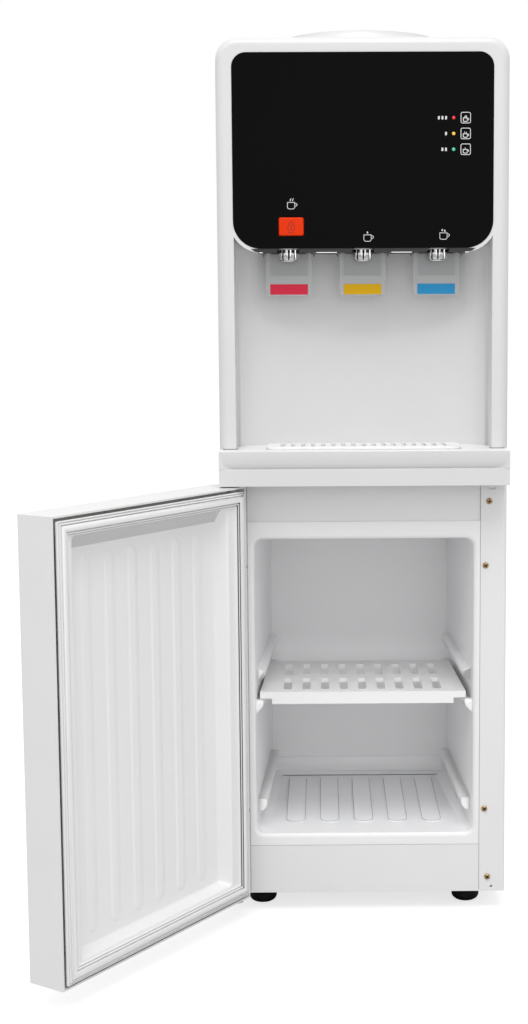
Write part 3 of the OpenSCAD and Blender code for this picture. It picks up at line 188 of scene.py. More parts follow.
# The object is lit by the plain matt floor. The camera sees a darker one with a glow over it.
matt = add(sheet, "ShaderNodeBsdfDiffuse", Color=paint("#D8D8D8"))
matt_seen = add(sheet, "ShaderNodeBsdfDiffuse", Color=paint("#AFAFAF"))
glow = add(sheet, "ShaderNodeEmission", Color=paint("#FFFFFF"), Strength=0.72)
lifted = add(sheet, "ShaderNodeAddShader", _0=matt_seen.outputs[0], _1=glow.outputs[0])
choose = add(sheet, "ShaderNodeMixShader", _0=floor_path.outputs["Is Camera Ray"],
             _1=matt.outputs[0], _2=lifted.outputs[0])
add(sheet, "ShaderNodeOutputMaterial", Surface=choose.outputs[0])
floor_mesh.materials.append(paper)
print("floor:", 2 * FLOOR_HALF, "m wide")

# %% [markdown]
# ## Finishes
# Each finish starts from what the real surface is and how it was made. Moulded plastic is very
# smooth, with faint waviness from the tool. Powder coat has a fine orange peel. Formed sheet
# sags a little more than moulded plastic. One function builds them all, because they differ only
# in their numbers: two noises read Object coordinates, a fine one for the bump and a broad one
# that lets colour and roughness drift.


# %% A moulded, painted or rolled surface
# Length over which colour and gloss drift
DRIFT_MM = 1000 / 14


def finish(name, colour, roughness, grain_mm=1.0, grain=0.02, blotch=0.02, metallic=0.0,
           specular=0.5, coat=0.0, spread=0.06, stretch=(1, 1, 1), spangle_mm=0.0, alpha=1.0):
    """Principled material with fine bump, slight colour drift and uneven roughness.

    stretch draws the grain out along an axis, for brushed metal, and spangle_mm turns the drift
    into flat crystals, for galvanised steel.
    """
    material = bpy.data.materials.new(name)
    material.use_nodes = True
    tree = material.node_tree
    tree.nodes.clear()
    where = add(tree, "ShaderNodeTexCoord").outputs["Object"]
    along = add(tree, "ShaderNodeMapping", Vector=where, Scale=stretch).outputs[0]
    fine = add(tree, "ShaderNodeTexNoise", Vector=along, Scale=1000 / grain_mm, Detail=2.0)
    broad = add(tree, "ShaderNodeTexNoise", Vector=where, Scale=1000 / DRIFT_MM,
                Detail=3.0).outputs["Fac"]
    if spangle_mm:
        crystals = add(tree, "ShaderNodeTexVoronoi", Vector=where, Scale=1000 / spangle_mm)
        broad = add(tree, "ShaderNodeSeparateColor", Color=crystals.outputs["Color"]).outputs[0]
    base = paint(colour)
    darker = tuple(c * (1 - 2 * blotch) for c in base[:3]) + (1.0,)
    drift = add(tree, "ShaderNodeMix", {"data_type": "RGBA"}, _0=broad, _6=darker, _7=base)
    rough = add(tree, "ShaderNodeMapRange", Value=broad, To_Min=max(roughness - spread, 0.02),
                To_Max=roughness + spread)
    bump = add(tree, "ShaderNodeBump", Strength=grain, Distance=grain_mm * MM * 0.2,
               Height=fine.outputs["Fac"])
    surface = add(tree, "ShaderNodeBsdfPrincipled", Base_Color=drift.outputs["Result"],
                  Roughness=rough.outputs[0], Metallic=metallic, Specular_IOR_Level=specular,
                  Coat_Weight=coat, Coat_Roughness=0.12, Alpha=alpha, Normal=bump.outputs[0])
    add(tree, "ShaderNodeOutputMaterial", Surface=surface.outputs[0])
    return material


# %% White and pale finishes
# Powder-coated sheet steel: satin, with orange peel about a millimetre across
powder_coat = finish("powder coated steel", "#E6E6E6", 0.42, grain_mm=1.3, grain=0.12)
# Injection-moulded ABS: smoother than the paint, so its round edges carry a clean highlight
moulded_abs = finish("moulded white ABS", "#D8D8D8", 0.3, grain_mm=2.5, grain=0.04)
# The bay's back is the same ABS from a satin mould, with a duller gloss. It is a touch brighter, as
# painted light in the shade under the head
bay_abs_and_painted_light = finish("satin white ABS", "#DEDEDE", 0.42, grain_mm=2.0, grain=0.05)
# The shelf, the tray and the grille are a whiter ABS with the first one's gloss. Part of that white
# is painted light, since they lie in shade under the head and in the tub, and the same white is
# painted on the ledge's top as painted light
white_abs_and_painted_light = finish("bright white ABS", "#F5F5F5", 0.3, grain_mm=2.5, grain=0.04)
# The door's shell is moulded with a fine leather-like grain that dulls its gloss
door_abs = finish("moulded door ABS", "#E4E4E4", 0.36, grain_mm=1.6, grain=0.06)
# The hooks are moulded from a grey ABS, which also serves as painted shade in the pillars' joints
grey_abs_and_joint_shade = finish("grey ABS", "#77777A", 0.4, grain=0.05)
# Vacuum-formed polystyrene: a deep drawn sheet with a soft gloss and a slow waviness. Its white is
# set as high as it goes, as painted light in the tub's shaded inside
formed_styrene_and_painted_light = finish("vacuum formed polystyrene", "#F8F8F9", 0.34, grain_mm=9.0, grain=0.06)
# The door's sheet is the same polystyrene without the tub's painted light, so a shade less white
door_styrene = finish("door polystyrene", "#EEEEEE", 0.32, grain_mm=3.0, grain=0.05, blotch=0.02)
# Painted shade on the dish's long top slope, which faces down and away from the light
slope_shade_styrene = finish("polystyrene with painted slope shade", "#C9C9C9", 0.34, grain_mm=3.0, grain=0.05)
# Extruded PVC: matt, with die lines too fine to show one by one
soft_pvc = finish("extruded PVC gasket", "#EEEEEE", 0.4, grain_mm=2.0, grain=0.04)
# Painted shade on the steep walls of the gasket's beads at the hinge, which turn away from the
# light
groove_shade = finish("shaded gasket groove", "#6A6B6C", 0.6, grain=0.03, specular=0.1)
# Where two sheets meet, the joint holds shade
shade_joint = finish("shaded joint", "#8E8F91", 0.7, grain=0.03, specular=0.1)
# Painted shade at the foot of each floor pad, a cool grey line
pad_shade = finish("pad edge shade", "#A9AFB4", 0.6, grain=0.03, specular=0.1)
# Expanded polystyrene: its beads make it rough and quite dull
white_foam = finish("expanded polystyrene", "#EFEFEA", 0.8, grain_mm=4.0, grain=0.6)
# Silicone: milky, with a soft gloss
silicone = finish("silicone hose", "#D4DCE0", 0.35, grain=0.03)
print("finishes so far:", len(bpy.data.materials) - 1)

# %% Dark and coloured finishes
# Acrylic printed black from behind: a deep black that hardly reflects in a pale room
black_acrylic = finish("black back-printed acrylic", "#09090A", 0.3, grain=0.01, specular=0.03)
# Spark-eroded moulds leave dark ABS with a fine grain, so its black looks dusty
dark_abs = finish("dark grey ABS", "#303032", 0.45, grain_mm=0.8, grain=0.15, specular=0.3)
# Moulded rubber: nearly black, and too matt to mirror the floor
black_rubber = finish("moulded black rubber", "#0C0C0C", 0.6, grain_mm=0.7, grain=0.3,
                      specular=0.15)
# Painted dark reflection in the grooves of the spouts: matt black beside the bright chrome
groove_reflection = finish("painted groove reflection", "#141414", 0.7, grain_mm=0.8, grain=0.05, specular=0.2)
# Needled felt: loose fibres, no gloss at all
grey_felt = finish("needled felt wrap", "#6A6C70", 0.95, grain_mm=0.8, grain=0.8, blotch=0.2)
# Orange ABS: strongly dyed, with a gloss so low that the white room doesn't pale it
orange_abs = finish("orange ABS", "#E03400", 0.4, grain=0.03, specular=0.12)
# Ink pressed on by a soft pad, a darker orange than the button
orange_print = finish("tampo print on orange", "#A02406", 0.4, grain=0.03, specular=0.3)
# The rockers are moulded in plain signal colours with a medium gloss
red_abs = finish("red ABS rocker", "#B01818", 0.3)
green_abs = finish("green ABS rocker", "#167A34", 0.3)
# A circuit board is green lacquer over copper: glossy, with its tracks as a faint relief
circuit = finish("lacquered circuit board", "#1E5A38", 0.3, grain_mm=1.0, grain=0.1)
# The strips are printed on film: flat, clear colours
red_strip = finish("printed red strip", "#D9304A", 0.35, grain=0.02, specular=0.12)
yellow_strip = finish("printed yellow strip", "#DDAC10", 0.35, grain=0.02, specular=0.12)
blue_strip = finish("printed blue strip", "#2F92C8", 0.35, grain=0.02, specular=0.12)
# Screen ink is thin over black, so its white is a little grey
white_print = finish("white screen print", "#DEDEDE", 0.6, grain=0.02, specular=0.2)
# Painted shade in a screw's recess, which reads nearly black
recess_shade = finish("painted recess shade", "#15100C", 0.5, grain=0.03, specular=0.2)
print("finishes so far:", len(bpy.data.materials) - 1)

# %% Clear and metal finishes
# The levers are frosted polycarbonate: a pale haze through which the bay shows a little
frosted = finish("frosted polycarbonate", "#C2C4C5", 0.3, grain=0.03, alpha=0.7)
# Their windows are painted darker, as painted shade in the recess behind the spouts
window_shade = finish("smoked polycarbonate", "#9C9D9E", 0.3, grain=0.03)
# Acetal bushes: waxy light grey
acetal = finish("light grey acetal", "#C6C8CA", 0.35, grain=0.03)
# Polished chrome has no colour of its own and mirrors the room
chrome = finish("chromed brass", "#DADADA", 0.08, grain=0.01, metallic=1.0, spread=0.02)
# The tanks are brushed along their height, which draws the highlight out sideways
stainless = finish("brushed stainless steel", "#C9C9C7", 0.28, grain_mm=0.6, grain=0.2,
                   metallic=1.0, stretch=(1, 1, 0.04))
# Yellow passivated zinc: a warm gold that differs from screw to screw
zinc_plate = finish("yellow zinc plate", "#C2A276", 0.3, grain=0.05, metallic=1.0, blotch=0.12)
# Clear passivated zinc: cool and bright
bright_zinc = finish("bright zinc plate", "#C4C6C8", 0.32, grain=0.05, metallic=1.0)
# Hot-dipped sheet: flat crystals that each catch the light by themselves
galvanised = finish("galvanised sheet", "#B9BCBE", 0.4, grain_mm=6.0, grain=0.05, metallic=1.0,
                    blotch=0.12, spangle_mm=9.0)
# Extruded aluminium: satin, with die lines along the fins
aluminium = finish("extruded aluminium", "#C9CBCE", 0.34, grain=0.1, metallic=1.0,
                   stretch=(1, 1, 0.05))
print("finishes so far:", len(bpy.data.materials) - 1)


# %% Light pipes
def light_pipe(name, colour):
    """A clear lens with its lamp's colour, lit a little from behind."""
    material = finish(name, colour, 0.16, coat=0.3)
    shader = material.node_tree.nodes["Principled BSDF"]
    shader.inputs["Emission Color"].default_value = paint(colour)
    shader.inputs["Emission Strength"].default_value = 0.25
    return material


lens_red = light_pipe("red light pipe", "#D2202C")
lens_amber = light_pipe("amber light pipe", "#E8B838")
lens_green = light_pipe("green light pipe", "#48B890")
print("finishes in all:", len(bpy.data.materials) - 1)

# %% Give every node its finish
node_finish = {
    powder_coat: ["left_side_panel", "right_side_panel", "rear_panel", "plinth_panel",
                  "upper_crossmember"],
    moulded_abs: ["tray_housing", "front_housing", "top_cover", "bottle_collar",
                  "bottle_probe", "drain_cap", "tap_bodies"],
    white_abs_and_painted_light: ["shelf", "drip_tray", "drip_grille"],
    bay_abs_and_painted_light: ["splash_back"],
    formed_styrene_and_painted_light: ["cabinet_liner", "door_liner"],
    door_abs: ["door_skin"],
    soft_pvc: ["door_gasket"],
    black_acrylic: ["control_panel"],
    dark_abs: ["tap_plate", "switch_bezel", "fan_frame", "fan_rotor", "thermostats"],
    frosted: ["hot_lever", "warm_lever", "cold_lever"],
    acetal: ["hinge_bushes"],
    orange_abs: ["lock_button"],
    chrome: ["spouts"],
    stainless: ["cold_tank", "hot_tank", "heating_element"],
    zinc_plate: ["cabinet_screws"],
    bright_zinc: ["top_hinge_plate", "bottom_hinge_plate", "lever_pins"],
    galvanised: ["base_pan", "mid_deck", "tank_shelf"],
    aluminium: ["heat_sink", "cooling_module"],
    black_rubber: ["feet", "cord_gland"],
    white_foam: ["cold_tank_foam", "door_core"],
    grey_felt: ["hot_tank_wrap"],
    silicone: ["water_hoses", "drain_pipe"],
    circuit: ["control_board", "power_board"],
    red_strip: ["hot_strip"],
    yellow_strip: ["warm_strip"],
    blue_strip: ["cold_strip"],
    red_abs: ["hot_rocker"],
    green_abs: ["cold_rocker"],
    lens_red: ["lamp_lenses"],
}
finish_of = {node: material for material, nodes in node_finish.items() for node in nodes}
for node, material in finish_of.items():
    mesh = parts[node].data
    mesh.materials.clear()
    mesh.materials.append(material)
print("without a finish:", sorted(set(parts) - set(finish_of)))

# %% [markdown]
# ## Rounded edges
# No moulded edge is sharp. A copy of a CAD node is cleaned to big flat faces, its edges are
# bevelled, and the copy stands in for the node. Large faces keep their own direction with
# weighted normals, so only the bevels catch the light.

# %% Helpers that turn meshes into pieces
body_of_node = {node: body for body, nodes in frame["record"]["behaviour"]["bodies"].items()
                for node in nodes}


def as_mesh(name, shape):
    """Turns a bmesh into a mesh and frees it."""
    mesh = bpy.data.meshes.new(name)
    shape.to_mesh(mesh)
    shape.free()
    return mesh


def soften(mesh, smooth_below):
    """Smooth shading that stays crisp at edges over an angle in degrees."""
    mesh.shade_smooth()
    mesh.set_sharp_from_angle(angle=math.radians(smooth_below))


def new_piece(name, shape, material, body, smooth_below=35):
    """Turns a bmesh into a smooth-shaded piece that rides on a body."""
    mesh = as_mesh(name, shape)
    mesh.materials.append(material)
    soften(mesh, smooth_below)
    piece = linked(name, mesh)
    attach(piece, body)
    return piece


def stand_in(node, shape, smooth_below=35):
    """Turns a bmesh into the piece that stands for a CAD node."""
    piece = new_piece(node + "_finished", shape, finish_of[node], body_of_node[node], smooth_below)
    even = piece.modifiers.new("even", "WEIGHTED_NORMAL")
    even.keep_sharp = True
    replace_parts(piece, node)
    return piece


# %% Helpers for rounding
MERGE = 0.02 * MM
FLAT = math.radians(1)


def clean_copy(node):
    """A bmesh of a CAD node with its doubles merged and its flat faces joined."""
    shape = bmesh.new()
    shape.from_mesh(parts[node].data)
    bmesh.ops.remove_doubles(shape, verts=shape.verts, dist=MERGE)
    bmesh.ops.dissolve_limit(shape, angle_limit=FLAT, verts=shape.verts, edges=shape.edges)
    return shape


def corner_edges(shape, pick=None, least=40):
    """Edges whose faces meet at a real corner, kept where pick says so of their middle."""
    found = []
    for edge in shape.edges:
        if len(edge.link_faces) != 2 or edge.calc_face_angle(0) < math.radians(least):
            continue
        middle = (edge.verts[0].co + edge.verts[1].co) / 2 / MM
        if pick is None or pick(middle):
            found.append(edge)
    return found


def round_off(shape, radius_mm, pick=None, steps=3, least=40):
    """Bevels the picked corners of a bmesh."""
    edges = corner_edges(shape, pick, least)
    bmesh.ops.bevel(shape, geom=edges, offset=radius_mm * MM, segments=steps, profile=0.5,
                    affect="EDGES", clamp_overlap=True)
    return len(edges)


def paint_faces(piece, material, wanted):
    """Gives a piece's faces a second finish where wanted says so of the face."""
    piece.data.materials.append(material)
    picked = [face for face in piece.data.polygons if wanted(face)]
    for face in picked:
        face.material_index = 1
    return len(picked)


# %% Deepen the ledge's groove
# The groove in the ledge's front is deeper here than in the CAD, so that its upper slope shades
GROOVE_ROOT_Z, GROOVE_ROOT_Y, GROOVE_MORE = 517.1, (-187, -184), 0.8


def deepen_groove(shape):
    """Moves the points at the groove's root further in."""
    moved_points = 0
    for vert in shape.verts:
        _, y, z = vert.co / MM
        if abs(z - GROOVE_ROOT_Z) < 0.3 and GROOVE_ROOT_Y[0] < y < GROOVE_ROOT_Y[1]:
            vert.co.y += GROOVE_MORE * MM
            moved_points += 1
    print("points at the groove's root:", moved_points)


# %% Round pieces with one even edge radius
edge_radius = {
    "top_cover": 1.2, "tray_housing": 1.2, "shelf": 0.8, "control_panel": 0.4,
    "hot_lever": 0.5, "warm_lever": 0.5, "cold_lever": 0.5,
    "door_skin": 0.8, "plinth_panel": 0.4, "drip_grille": 0.5,
    "hot_rocker": 0.6, "cold_rocker": 0.6, "switch_bezel": 0.5,
}
# The slopes of the ledge's groove meet at blunt angles, and have to stay apart
crisp_over = {"tray_housing": 19}
rounded = {}
for node, radius in edge_radius.items():
    shape = clean_copy(node)
    if node == "tray_housing":
        deepen_groove(shape)
    print(node, "rounded edges:", round_off(shape, radius))
    rounded[node] = stand_in(node, shape, smooth_below=crisp_over.get(node, 35))

# %% Paint light on the ledge's top
# The ledge's top is painted in the whiter ABS, as painted light from above, so it is brighter than
# its front
LEDGE_TOP_FROM = 530
print("faces with painted light:", paint_faces(
    rounded["tray_housing"], white_abs_and_painted_light,
    lambda face: face.normal.z > 0.6 and face.center.z / MM > LEDGE_TOP_FROM))

# %% [markdown]
# ## Turned and drawn pieces
# The CAD model hands over its round pieces as flat triangles. Merged and shaded smooth they turn
# round again, while edges over 40 degrees stay crisp. The head and the cabinet's tub already have
# their soft edges in the CAD model, so they need no more than this.

# %% Smooth the round pieces
ROUND_CRISP = 40
TUB_FRAME_Y = -143.5
for node in ("front_housing", "cabinet_liner", "splash_back", "bottle_collar", "bottle_probe",
             "feet", "left_side_panel", "right_side_panel", "drip_tray",
             "drain_cap", "cord_gland", "fan_rotor", "cold_tank", "hot_tank", "hot_tank_wrap",
             "cold_tank_foam", "water_hoses", "drain_pipe", "tap_bodies", "heating_element"):
    piece = stand_in(node, clean_copy(node), smooth_below=ROUND_CRISP)
    if node == "cabinet_liner":
        # The tub's front frame is painted in the door sheet's tone: it lacks the inside's painted
        # light, and its darker white is painted shade under the ledge
        frame_faces = paint_faces(piece, door_styrene,
                                  lambda face: face.center.y / MM < TUB_FRAME_Y)
print("smoothed the round pieces, faces of the tub's frame:", frame_faces)

# %% [markdown]
# ## The door's dish
# The door's inner panel is one sheet of polystyrene, warmed and sucked down over a mould. Its
# dish has a long slope at the top, where the mould must let go, and steep walls elsewhere. Six
# ribs stiffen it. A sheet like this is a height over a flat grid, so it is made that way: every
# grid point asks how deep the mould is there, and smooth steps round each corner by themselves.

# %% The door's own coordinates
# The door is drawn shut, in X along its width and Z up, and then swung open about its hinge
HINGE = Vector((-147.3, -171.0, 0)) * MM
SWING = math.radians(123.6)
DOOR_BACK = -158.0
DOOR_HALF = 156.0
DOOR_LOW, DOOR_TOP = 24.5, 496.5


def swing_open(shape):
    """Turns what is drawn on the shut door to where the open door stands."""
    bmesh.ops.rotate(shape, cent=HINGE, matrix=Matrix.Rotation(-SWING, 3, "Z"), verts=shape.verts)


print("door:", 2 * DOOR_HALF, "by", DOOR_TOP - DOOR_LOW, "mm")

# %% The dish's measures
# Heights are above the door's lower edge
DISH_X, DISH_HALF, DISH_DEEP = 3.0, 126, 15.0
DISH_FOOT, DISH_HEAD = 23, 457
SIDE_RUN, FOOT_RUN, HEAD_RUN = 8, 5, 22
CORNER_GAP, CORNER_BITE = 0.8, 0.25
RIB_PITCH, RIB_HALF, RIB_PROUD = 36.0, 8.0, 1.0
RIB_MIDDLE, RIB_REACH = 233, 194
# A rib's left flank is a soft slope, and its right flank a step
SOFT_FLANK, STEEP_FLANK = 7.0, 1.2
print("dish:", 2 * DISH_HALF, "by", DISH_HEAD - DISH_FOOT, "mm, and", DISH_DEEP, "mm deep")


# %% How deep the mould is at a point of the door
def ease(value, start, end):
    """A smooth step from 0 to 1."""
    t = min(max((value - start) / (end - start), 0), 1)
    return t * t * (3 - 2 * t)


def dish_depth(x, z):
    """Depth of the dish below the door's rim, with its ribs standing out of the floor."""
    x, z = x - DISH_X, z - DOOR_LOW
    nearest, second = sorted(((DISH_HALF - abs(x)) / SIDE_RUN, (z - DISH_FOOT) / FOOT_RUN,
                              (DISH_HEAD - z) / HEAD_RUN))[:2]
    # Where two walls meet, the corner is rounded
    wall = nearest - CORNER_BITE * max(CORNER_GAP - (second - nearest), 0) ** 2
    depth = DISH_DEEP * ease(wall, -0.05, 1.05)
    # The nearest of the six ribs
    rib_x = RIB_PITCH * (min(max(round(x / RIB_PITCH - 0.5), -3), 2) + 0.5)
    over = max(abs(z - RIB_MIDDLE) - (RIB_REACH - RIB_HALF), 0)
    reach = math.hypot(over, x - rib_x)
    flank = SOFT_FLANK if x < rib_x else STEEP_FLANK
    return depth - RIB_PROUD * (1 - ease(reach, RIB_HALF - flank, RIB_HALF + 0.4))


print("depth in the middle of the dish:", round(dish_depth(DISH_X, 260), 2), "mm")


# %% Lay the grid lines
def spaced(stops):
    """Grid lines from stops of (place, step to the next stop)."""
    lines = []
    for (start, step), (end, _) in zip(stops, stops[1:]):
        count = max(round((end - start) / step), 1)
        lines += [start + (end - start) * i / count for i in range(count)]
    return lines + [stops[-1][0]]


# Lines lie close where the sheet bends and far apart where it is flat
RIM = 6
across = spaced([(RIM - DOOR_HALF, 6), (-126, 1.1), (-110, 1.1), (-98, 1.4), (104, 1.1),
                 (116, 1.1), (132, 6), (DOOR_HALF - RIM, 6)])
up = spaced([(DOOR_LOW + RIM, 6), (DOOR_LOW + 21, 1), (DOOR_LOW + 30, 1.5), (DOOR_LOW + 52, 14),
             (DOOR_LOW + 412, 1.5), (DOOR_LOW + 460, 5), (DOOR_TOP - RIM, 6)])
print("door sheet:", len(across), "by", len(up), "grid lines")

# %% Form the sheet
shape = bmesh.new()
grid = [[shape.verts.new(Vector((x, DOOR_BACK - dish_depth(x, z), z)) * MM) for x in across]
        for z in up]
columns = len(across) - 1
for low, high in zip(grid, grid[1:]):
    for i in range(columns):
        shape.faces.new((low[i], high[i], high[i + 1], low[i + 1]))
swing_open(shape)
door_sheet = new_piece("door_inner_sheet", shape, door_styrene, "door", smooth_below=60)
SHEET_WALL = 1.6
wall = door_sheet.modifiers.new("sheet_wall", "SOLIDIFY")
wall.thickness = SHEET_WALL * MM
wall.offset = -1
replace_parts(door_sheet, "door_liner")
print("door sheet faces:", len(door_sheet.data.polygons))

# %% Paint shade on the dish's top slope
SLOPE_EDGE = 0.6


def on_top_slope(face):
    """Whether a face of the sheet lies on the dish's long slope, clear of its side walls."""
    row, column = divmod(face.index, columns)
    height = (up[row] + up[row + 1]) / 2 - DOOR_LOW
    aside = abs((across[column] + across[column + 1]) / 2 - DISH_X)
    steep = DISH_HEAD - HEAD_RUN + SLOPE_EDGE < height < DISH_HEAD - SLOPE_EDGE
    return steep and aside < DISH_HALF - SIDE_RUN


print("faces on the slope:", paint_faces(door_sheet, slope_shade_styrene, on_top_slope))

# %% [markdown]
# ## Rings of points
# The gasket, the spouts, the lamps and most small parts here have one thing in common: they are
# rings of points, one after the other, with a skin between them. A tube's last ring meets its
# first, and a solid is closed at both ends. One helper makes that skin for all of them.


# %% A skin over rings of points
def skin(shape, rings_mm, loop=False):
    """Joins rings with quads. A loop joins the last to the first, and otherwise ends are closed."""
    rings = [[shape.verts.new(Vector(point) * MM) for point in ring] for ring in rings_mm]
    made = []
    for one, other in zip(rings, rings[1:] + (rings[:1] if loop else [])):
        for i in range(len(one)):
            j = (i + 1) % len(one)
            made.append(shape.faces.new((one[i], one[j], other[j], other[i])))
    if not loop:
        made += [shape.faces.new(rings[0]), shape.faces.new(list(reversed(rings[-1])))]
    bmesh.ops.recalc_face_normals(shape, faces=made)
    return made


# %% [markdown]
# ## The magnetic gasket
# A refrigerator gasket is an extrusion of soft PVC with hollow beads, cut at 45 degrees and
# welded at the corners. Every point of its section therefore runs round the door as its own
# rectangle, and the mitres appear by themselves where the rectangles turn.

# %% The gasket's section
# Each point is a distance in from the gasket's outer edge and a height over the door's back
GASKET_INSET = 5.0
GASKET_SECTION = [
    (0, 0), (0, 2.2), (0.3, 2.7), (1.1, 2.7), (1.3, 0.6), (2.2, 0.6), (2.4, 3.2), (2.8, 3.7),
    (3.3, 3.7), (3.7, 3.1), (3.8, 0.8), (4.7, 0.8), (4.9, 3.9), (5.3, 4.5), (8.0, 4.8),
    (10.7, 4.5), (11.1, 3.9), (11.3, 0.8), (12.2, 0.8), (12.4, 3.1), (12.8, 3.7), (13.3, 3.7),
    (13.7, 3.2), (13.8, 0.6), (14.7, 0.6), (14.9, 2.4), (15.7, 2.4), (16, 0),
]
# Steps of the section that fall steeply towards the door's middle, into a groove
GROOVE_WALLS = [k for k, ((u, h), (u_next, h_next)) in enumerate(
    zip(GASKET_SECTION, GASKET_SECTION[1:])) if h - h_next > 1.5 and u_next - u < 0.25]
print("section points:", len(GASKET_SECTION), "groove walls:", GROOVE_WALLS)


# %% Extrude the gasket round the door
def door_rectangle(inset, out):
    """Four corners of a rectangle, set in from the shut door's edges and out from its back."""
    left, right = inset - DOOR_HALF, DOOR_HALF - inset
    low, high = DOOR_LOW + inset, DOOR_TOP - inset
    return [(x, DOOR_BACK + out, z)
            for x, z in ((left, low), (right, low), (right, high), (left, high))]


HINGE_SIDE = 3
shape = bmesh.new()
faces = skin(shape, [door_rectangle(GASKET_INSET + u, h) for u, h in GASKET_SECTION], loop=True)
# The steep walls of the beads on the hinge side get the painted shade
for index, face in enumerate(faces):
    step, side = divmod(index, 4)
    face.material_index = int(step in GROOVE_WALLS and side == HINGE_SIDE)
swing_open(shape)
gasket = new_piece("door_gasket_beads", shape, soft_pvc, "door", smooth_below=50)
gasket.data.materials.append(groove_shade)
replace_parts(gasket, "door_gasket")
print("gasket faces:", len(gasket.data.polygons))

# %% [markdown]
# ## Screws
# Pan-head screws hold the liner, the plinth and the back. One screw is modelled: a domed head
# with a cross recess. Geometry Nodes then put a copy on every marked point, each turned by its
# own seeded angle, because no fitter stops two screws at the same turn.

# %% Sizes of a pan-head screw
HEAD_R, HEAD_H, SCREW_SIDES = 3.5, 1.9, 24
SHANK_R, SHANK_LONG = 1.75, 4.2
# The dome's rings, as shares of the head's radius and height
DOME = [(0.45, 0.97), (0.75, 0.82), (0.93, 0.5), (1.0, 0.16), (0.98, 0)]
# The recess: its arms are shares of the head's radius, and its depth is in millimetres
CROSS_REACH, CROSS_HALF, CROSS_DEEP = 0.8, 0.22, 1.6
print("screw head:", 2 * HEAD_R, "mm across,", HEAD_H, "mm high")


# %% Model one pan-head screw
def circle(radius, z, sides):
    """Points on a level circle round the Z axis."""
    return [(radius * math.cos(2 * math.pi * i / sides), radius * math.sin(2 * math.pi * i / sides),
             z) for i in range(sides)]


def screw_mesh():
    """A screw that points up: a domed head on a short shank."""
    profile = [(r * HEAD_R, z * HEAD_H) for r, z in DOME] + [(SHANK_R, 0), (SHANK_R, -SHANK_LONG)]
    shape = bmesh.new()
    skin(shape, [circle(r, z, SCREW_SIDES) for r, z in profile])
    return as_mesh("pan_head", shape)


def cross_mesh(reach, half, top, deep):
    """A four-armed cross that narrows downwards, from deep above its top to deep below it."""
    outline = [(reach, half), (half, half), (half, reach), (-half, reach), (-half, half),
               (-reach, half), (-reach, -half), (-half, -half), (-half, -reach), (half, -reach),
               (half, -half), (reach, -half)]
    shape = bmesh.new()
    skin(shape, [[(x * share, y * share, z) for x, y in outline]
                 for share, z in ((0.7, top - deep), (1.0, top + deep))])
    return as_mesh("cross_recess", shape)


# %% Cut the recess
def evaluated(thing):
    """A plain mesh of an object with its modifiers carried out."""
    return bpy.data.meshes.new_from_object(thing.evaluated_get(
        bpy.context.evaluated_depsgraph_get()))


def carve(name, blank_mesh, cutter_mesh):
    """Cuts one closed mesh out of another and gives back the result."""
    blank, cutter = linked(name, blank_mesh), linked(name + "_cutter", cutter_mesh)
    cut = blank.modifiers.new("cut", "BOOLEAN")
    cut.operation, cut.object, cut.solver = "DIFFERENCE", cutter, "EXACT"
    ready = evaluated(blank)
    for item in (blank, cutter):
        bpy.data.objects.remove(item)
    return ready


one_screw = linked("one_screw", carve("screw", screw_mesh(), cross_mesh(
    HEAD_R * CROSS_REACH, HEAD_R * CROSS_HALF, HEAD_H, CROSS_DEEP)))
# A dark cross lies in each recess as painted shade
RECESS_SHADE_REACH, RECESS_SHADE_HALF, RECESS_SHADE_TOP, RECESS_SHADE_DEEP = 2.7, 0.75, 1.1, 0.45
one_cross = linked("one_cross", cross_mesh(RECESS_SHADE_REACH, RECESS_SHADE_HALF, RECESS_SHADE_TOP, RECESS_SHADE_DEEP))
print("screw faces:", len(one_screw.data.polygons))


# %% A tree that puts a piece on every point
def scatter_tree(name):
    """Geometry Nodes: a copy of an object on each vertex, turned about its own axis."""
    tree = bpy.data.node_groups.new(name, "GeometryNodeTree")
    face = tree.interface
    face.new_socket("Geometry", in_out="INPUT", socket_type="NodeSocketGeometry")
    face.new_socket("Piece", in_out="INPUT", socket_type="NodeSocketObject")
    face.new_socket("Facing", in_out="INPUT", socket_type="NodeSocketRotation")
    face.new_socket("Size", in_out="INPUT", socket_type="NodeSocketFloat").default_value = 1.0
    face.new_socket("Most Turn", in_out="INPUT", socket_type="NodeSocketFloat")
    face.new_socket("Finish", in_out="INPUT", socket_type="NodeSocketMaterial")
    face.new_socket("Geometry", in_out="OUTPUT", socket_type="NodeSocketGeometry")
    given = add(tree, "NodeGroupInput").outputs
    piece = add(tree, "GeometryNodeObjectInfo", _0=given["Piece"])
    chance = add(tree, "FunctionNodeRandomValue", {"data_type": "FLOAT"}, Seed=7)
    tree.links.new(given["Most Turn"], chance.inputs[3])
    spin = add(tree, "ShaderNodeCombineXYZ", Z=chance.outputs[1])
    turned = add(tree, "FunctionNodeEulerToRotation", _0=spin.outputs[0])
    facing = add(tree, "FunctionNodeRotateRotation", {"rotation_space": "LOCAL"},
                 _0=given["Facing"], _1=turned.outputs[0])
    placed = add(tree, "GeometryNodeInstanceOnPoints", Points=given["Geometry"],
                 Instance=piece.outputs["Geometry"], Rotation=facing.outputs[0],
                 Scale=given["Size"])
    real = add(tree, "GeometryNodeRealizeInstances", _0=placed.outputs[0])
    dressed = add(tree, "GeometryNodeSetMaterial", Geometry=real.outputs[0],
                  Material=given["Finish"])
    add(tree, "NodeGroupOutput", _0=dressed.outputs[0])
    return tree


scatter = scatter_tree("piece_on_every_point")
socket_of = {item.name: item.identifier for item in scatter.interface.items_tree
             if item.in_out == "INPUT"}
print("inputs of the tree:", socket_of)


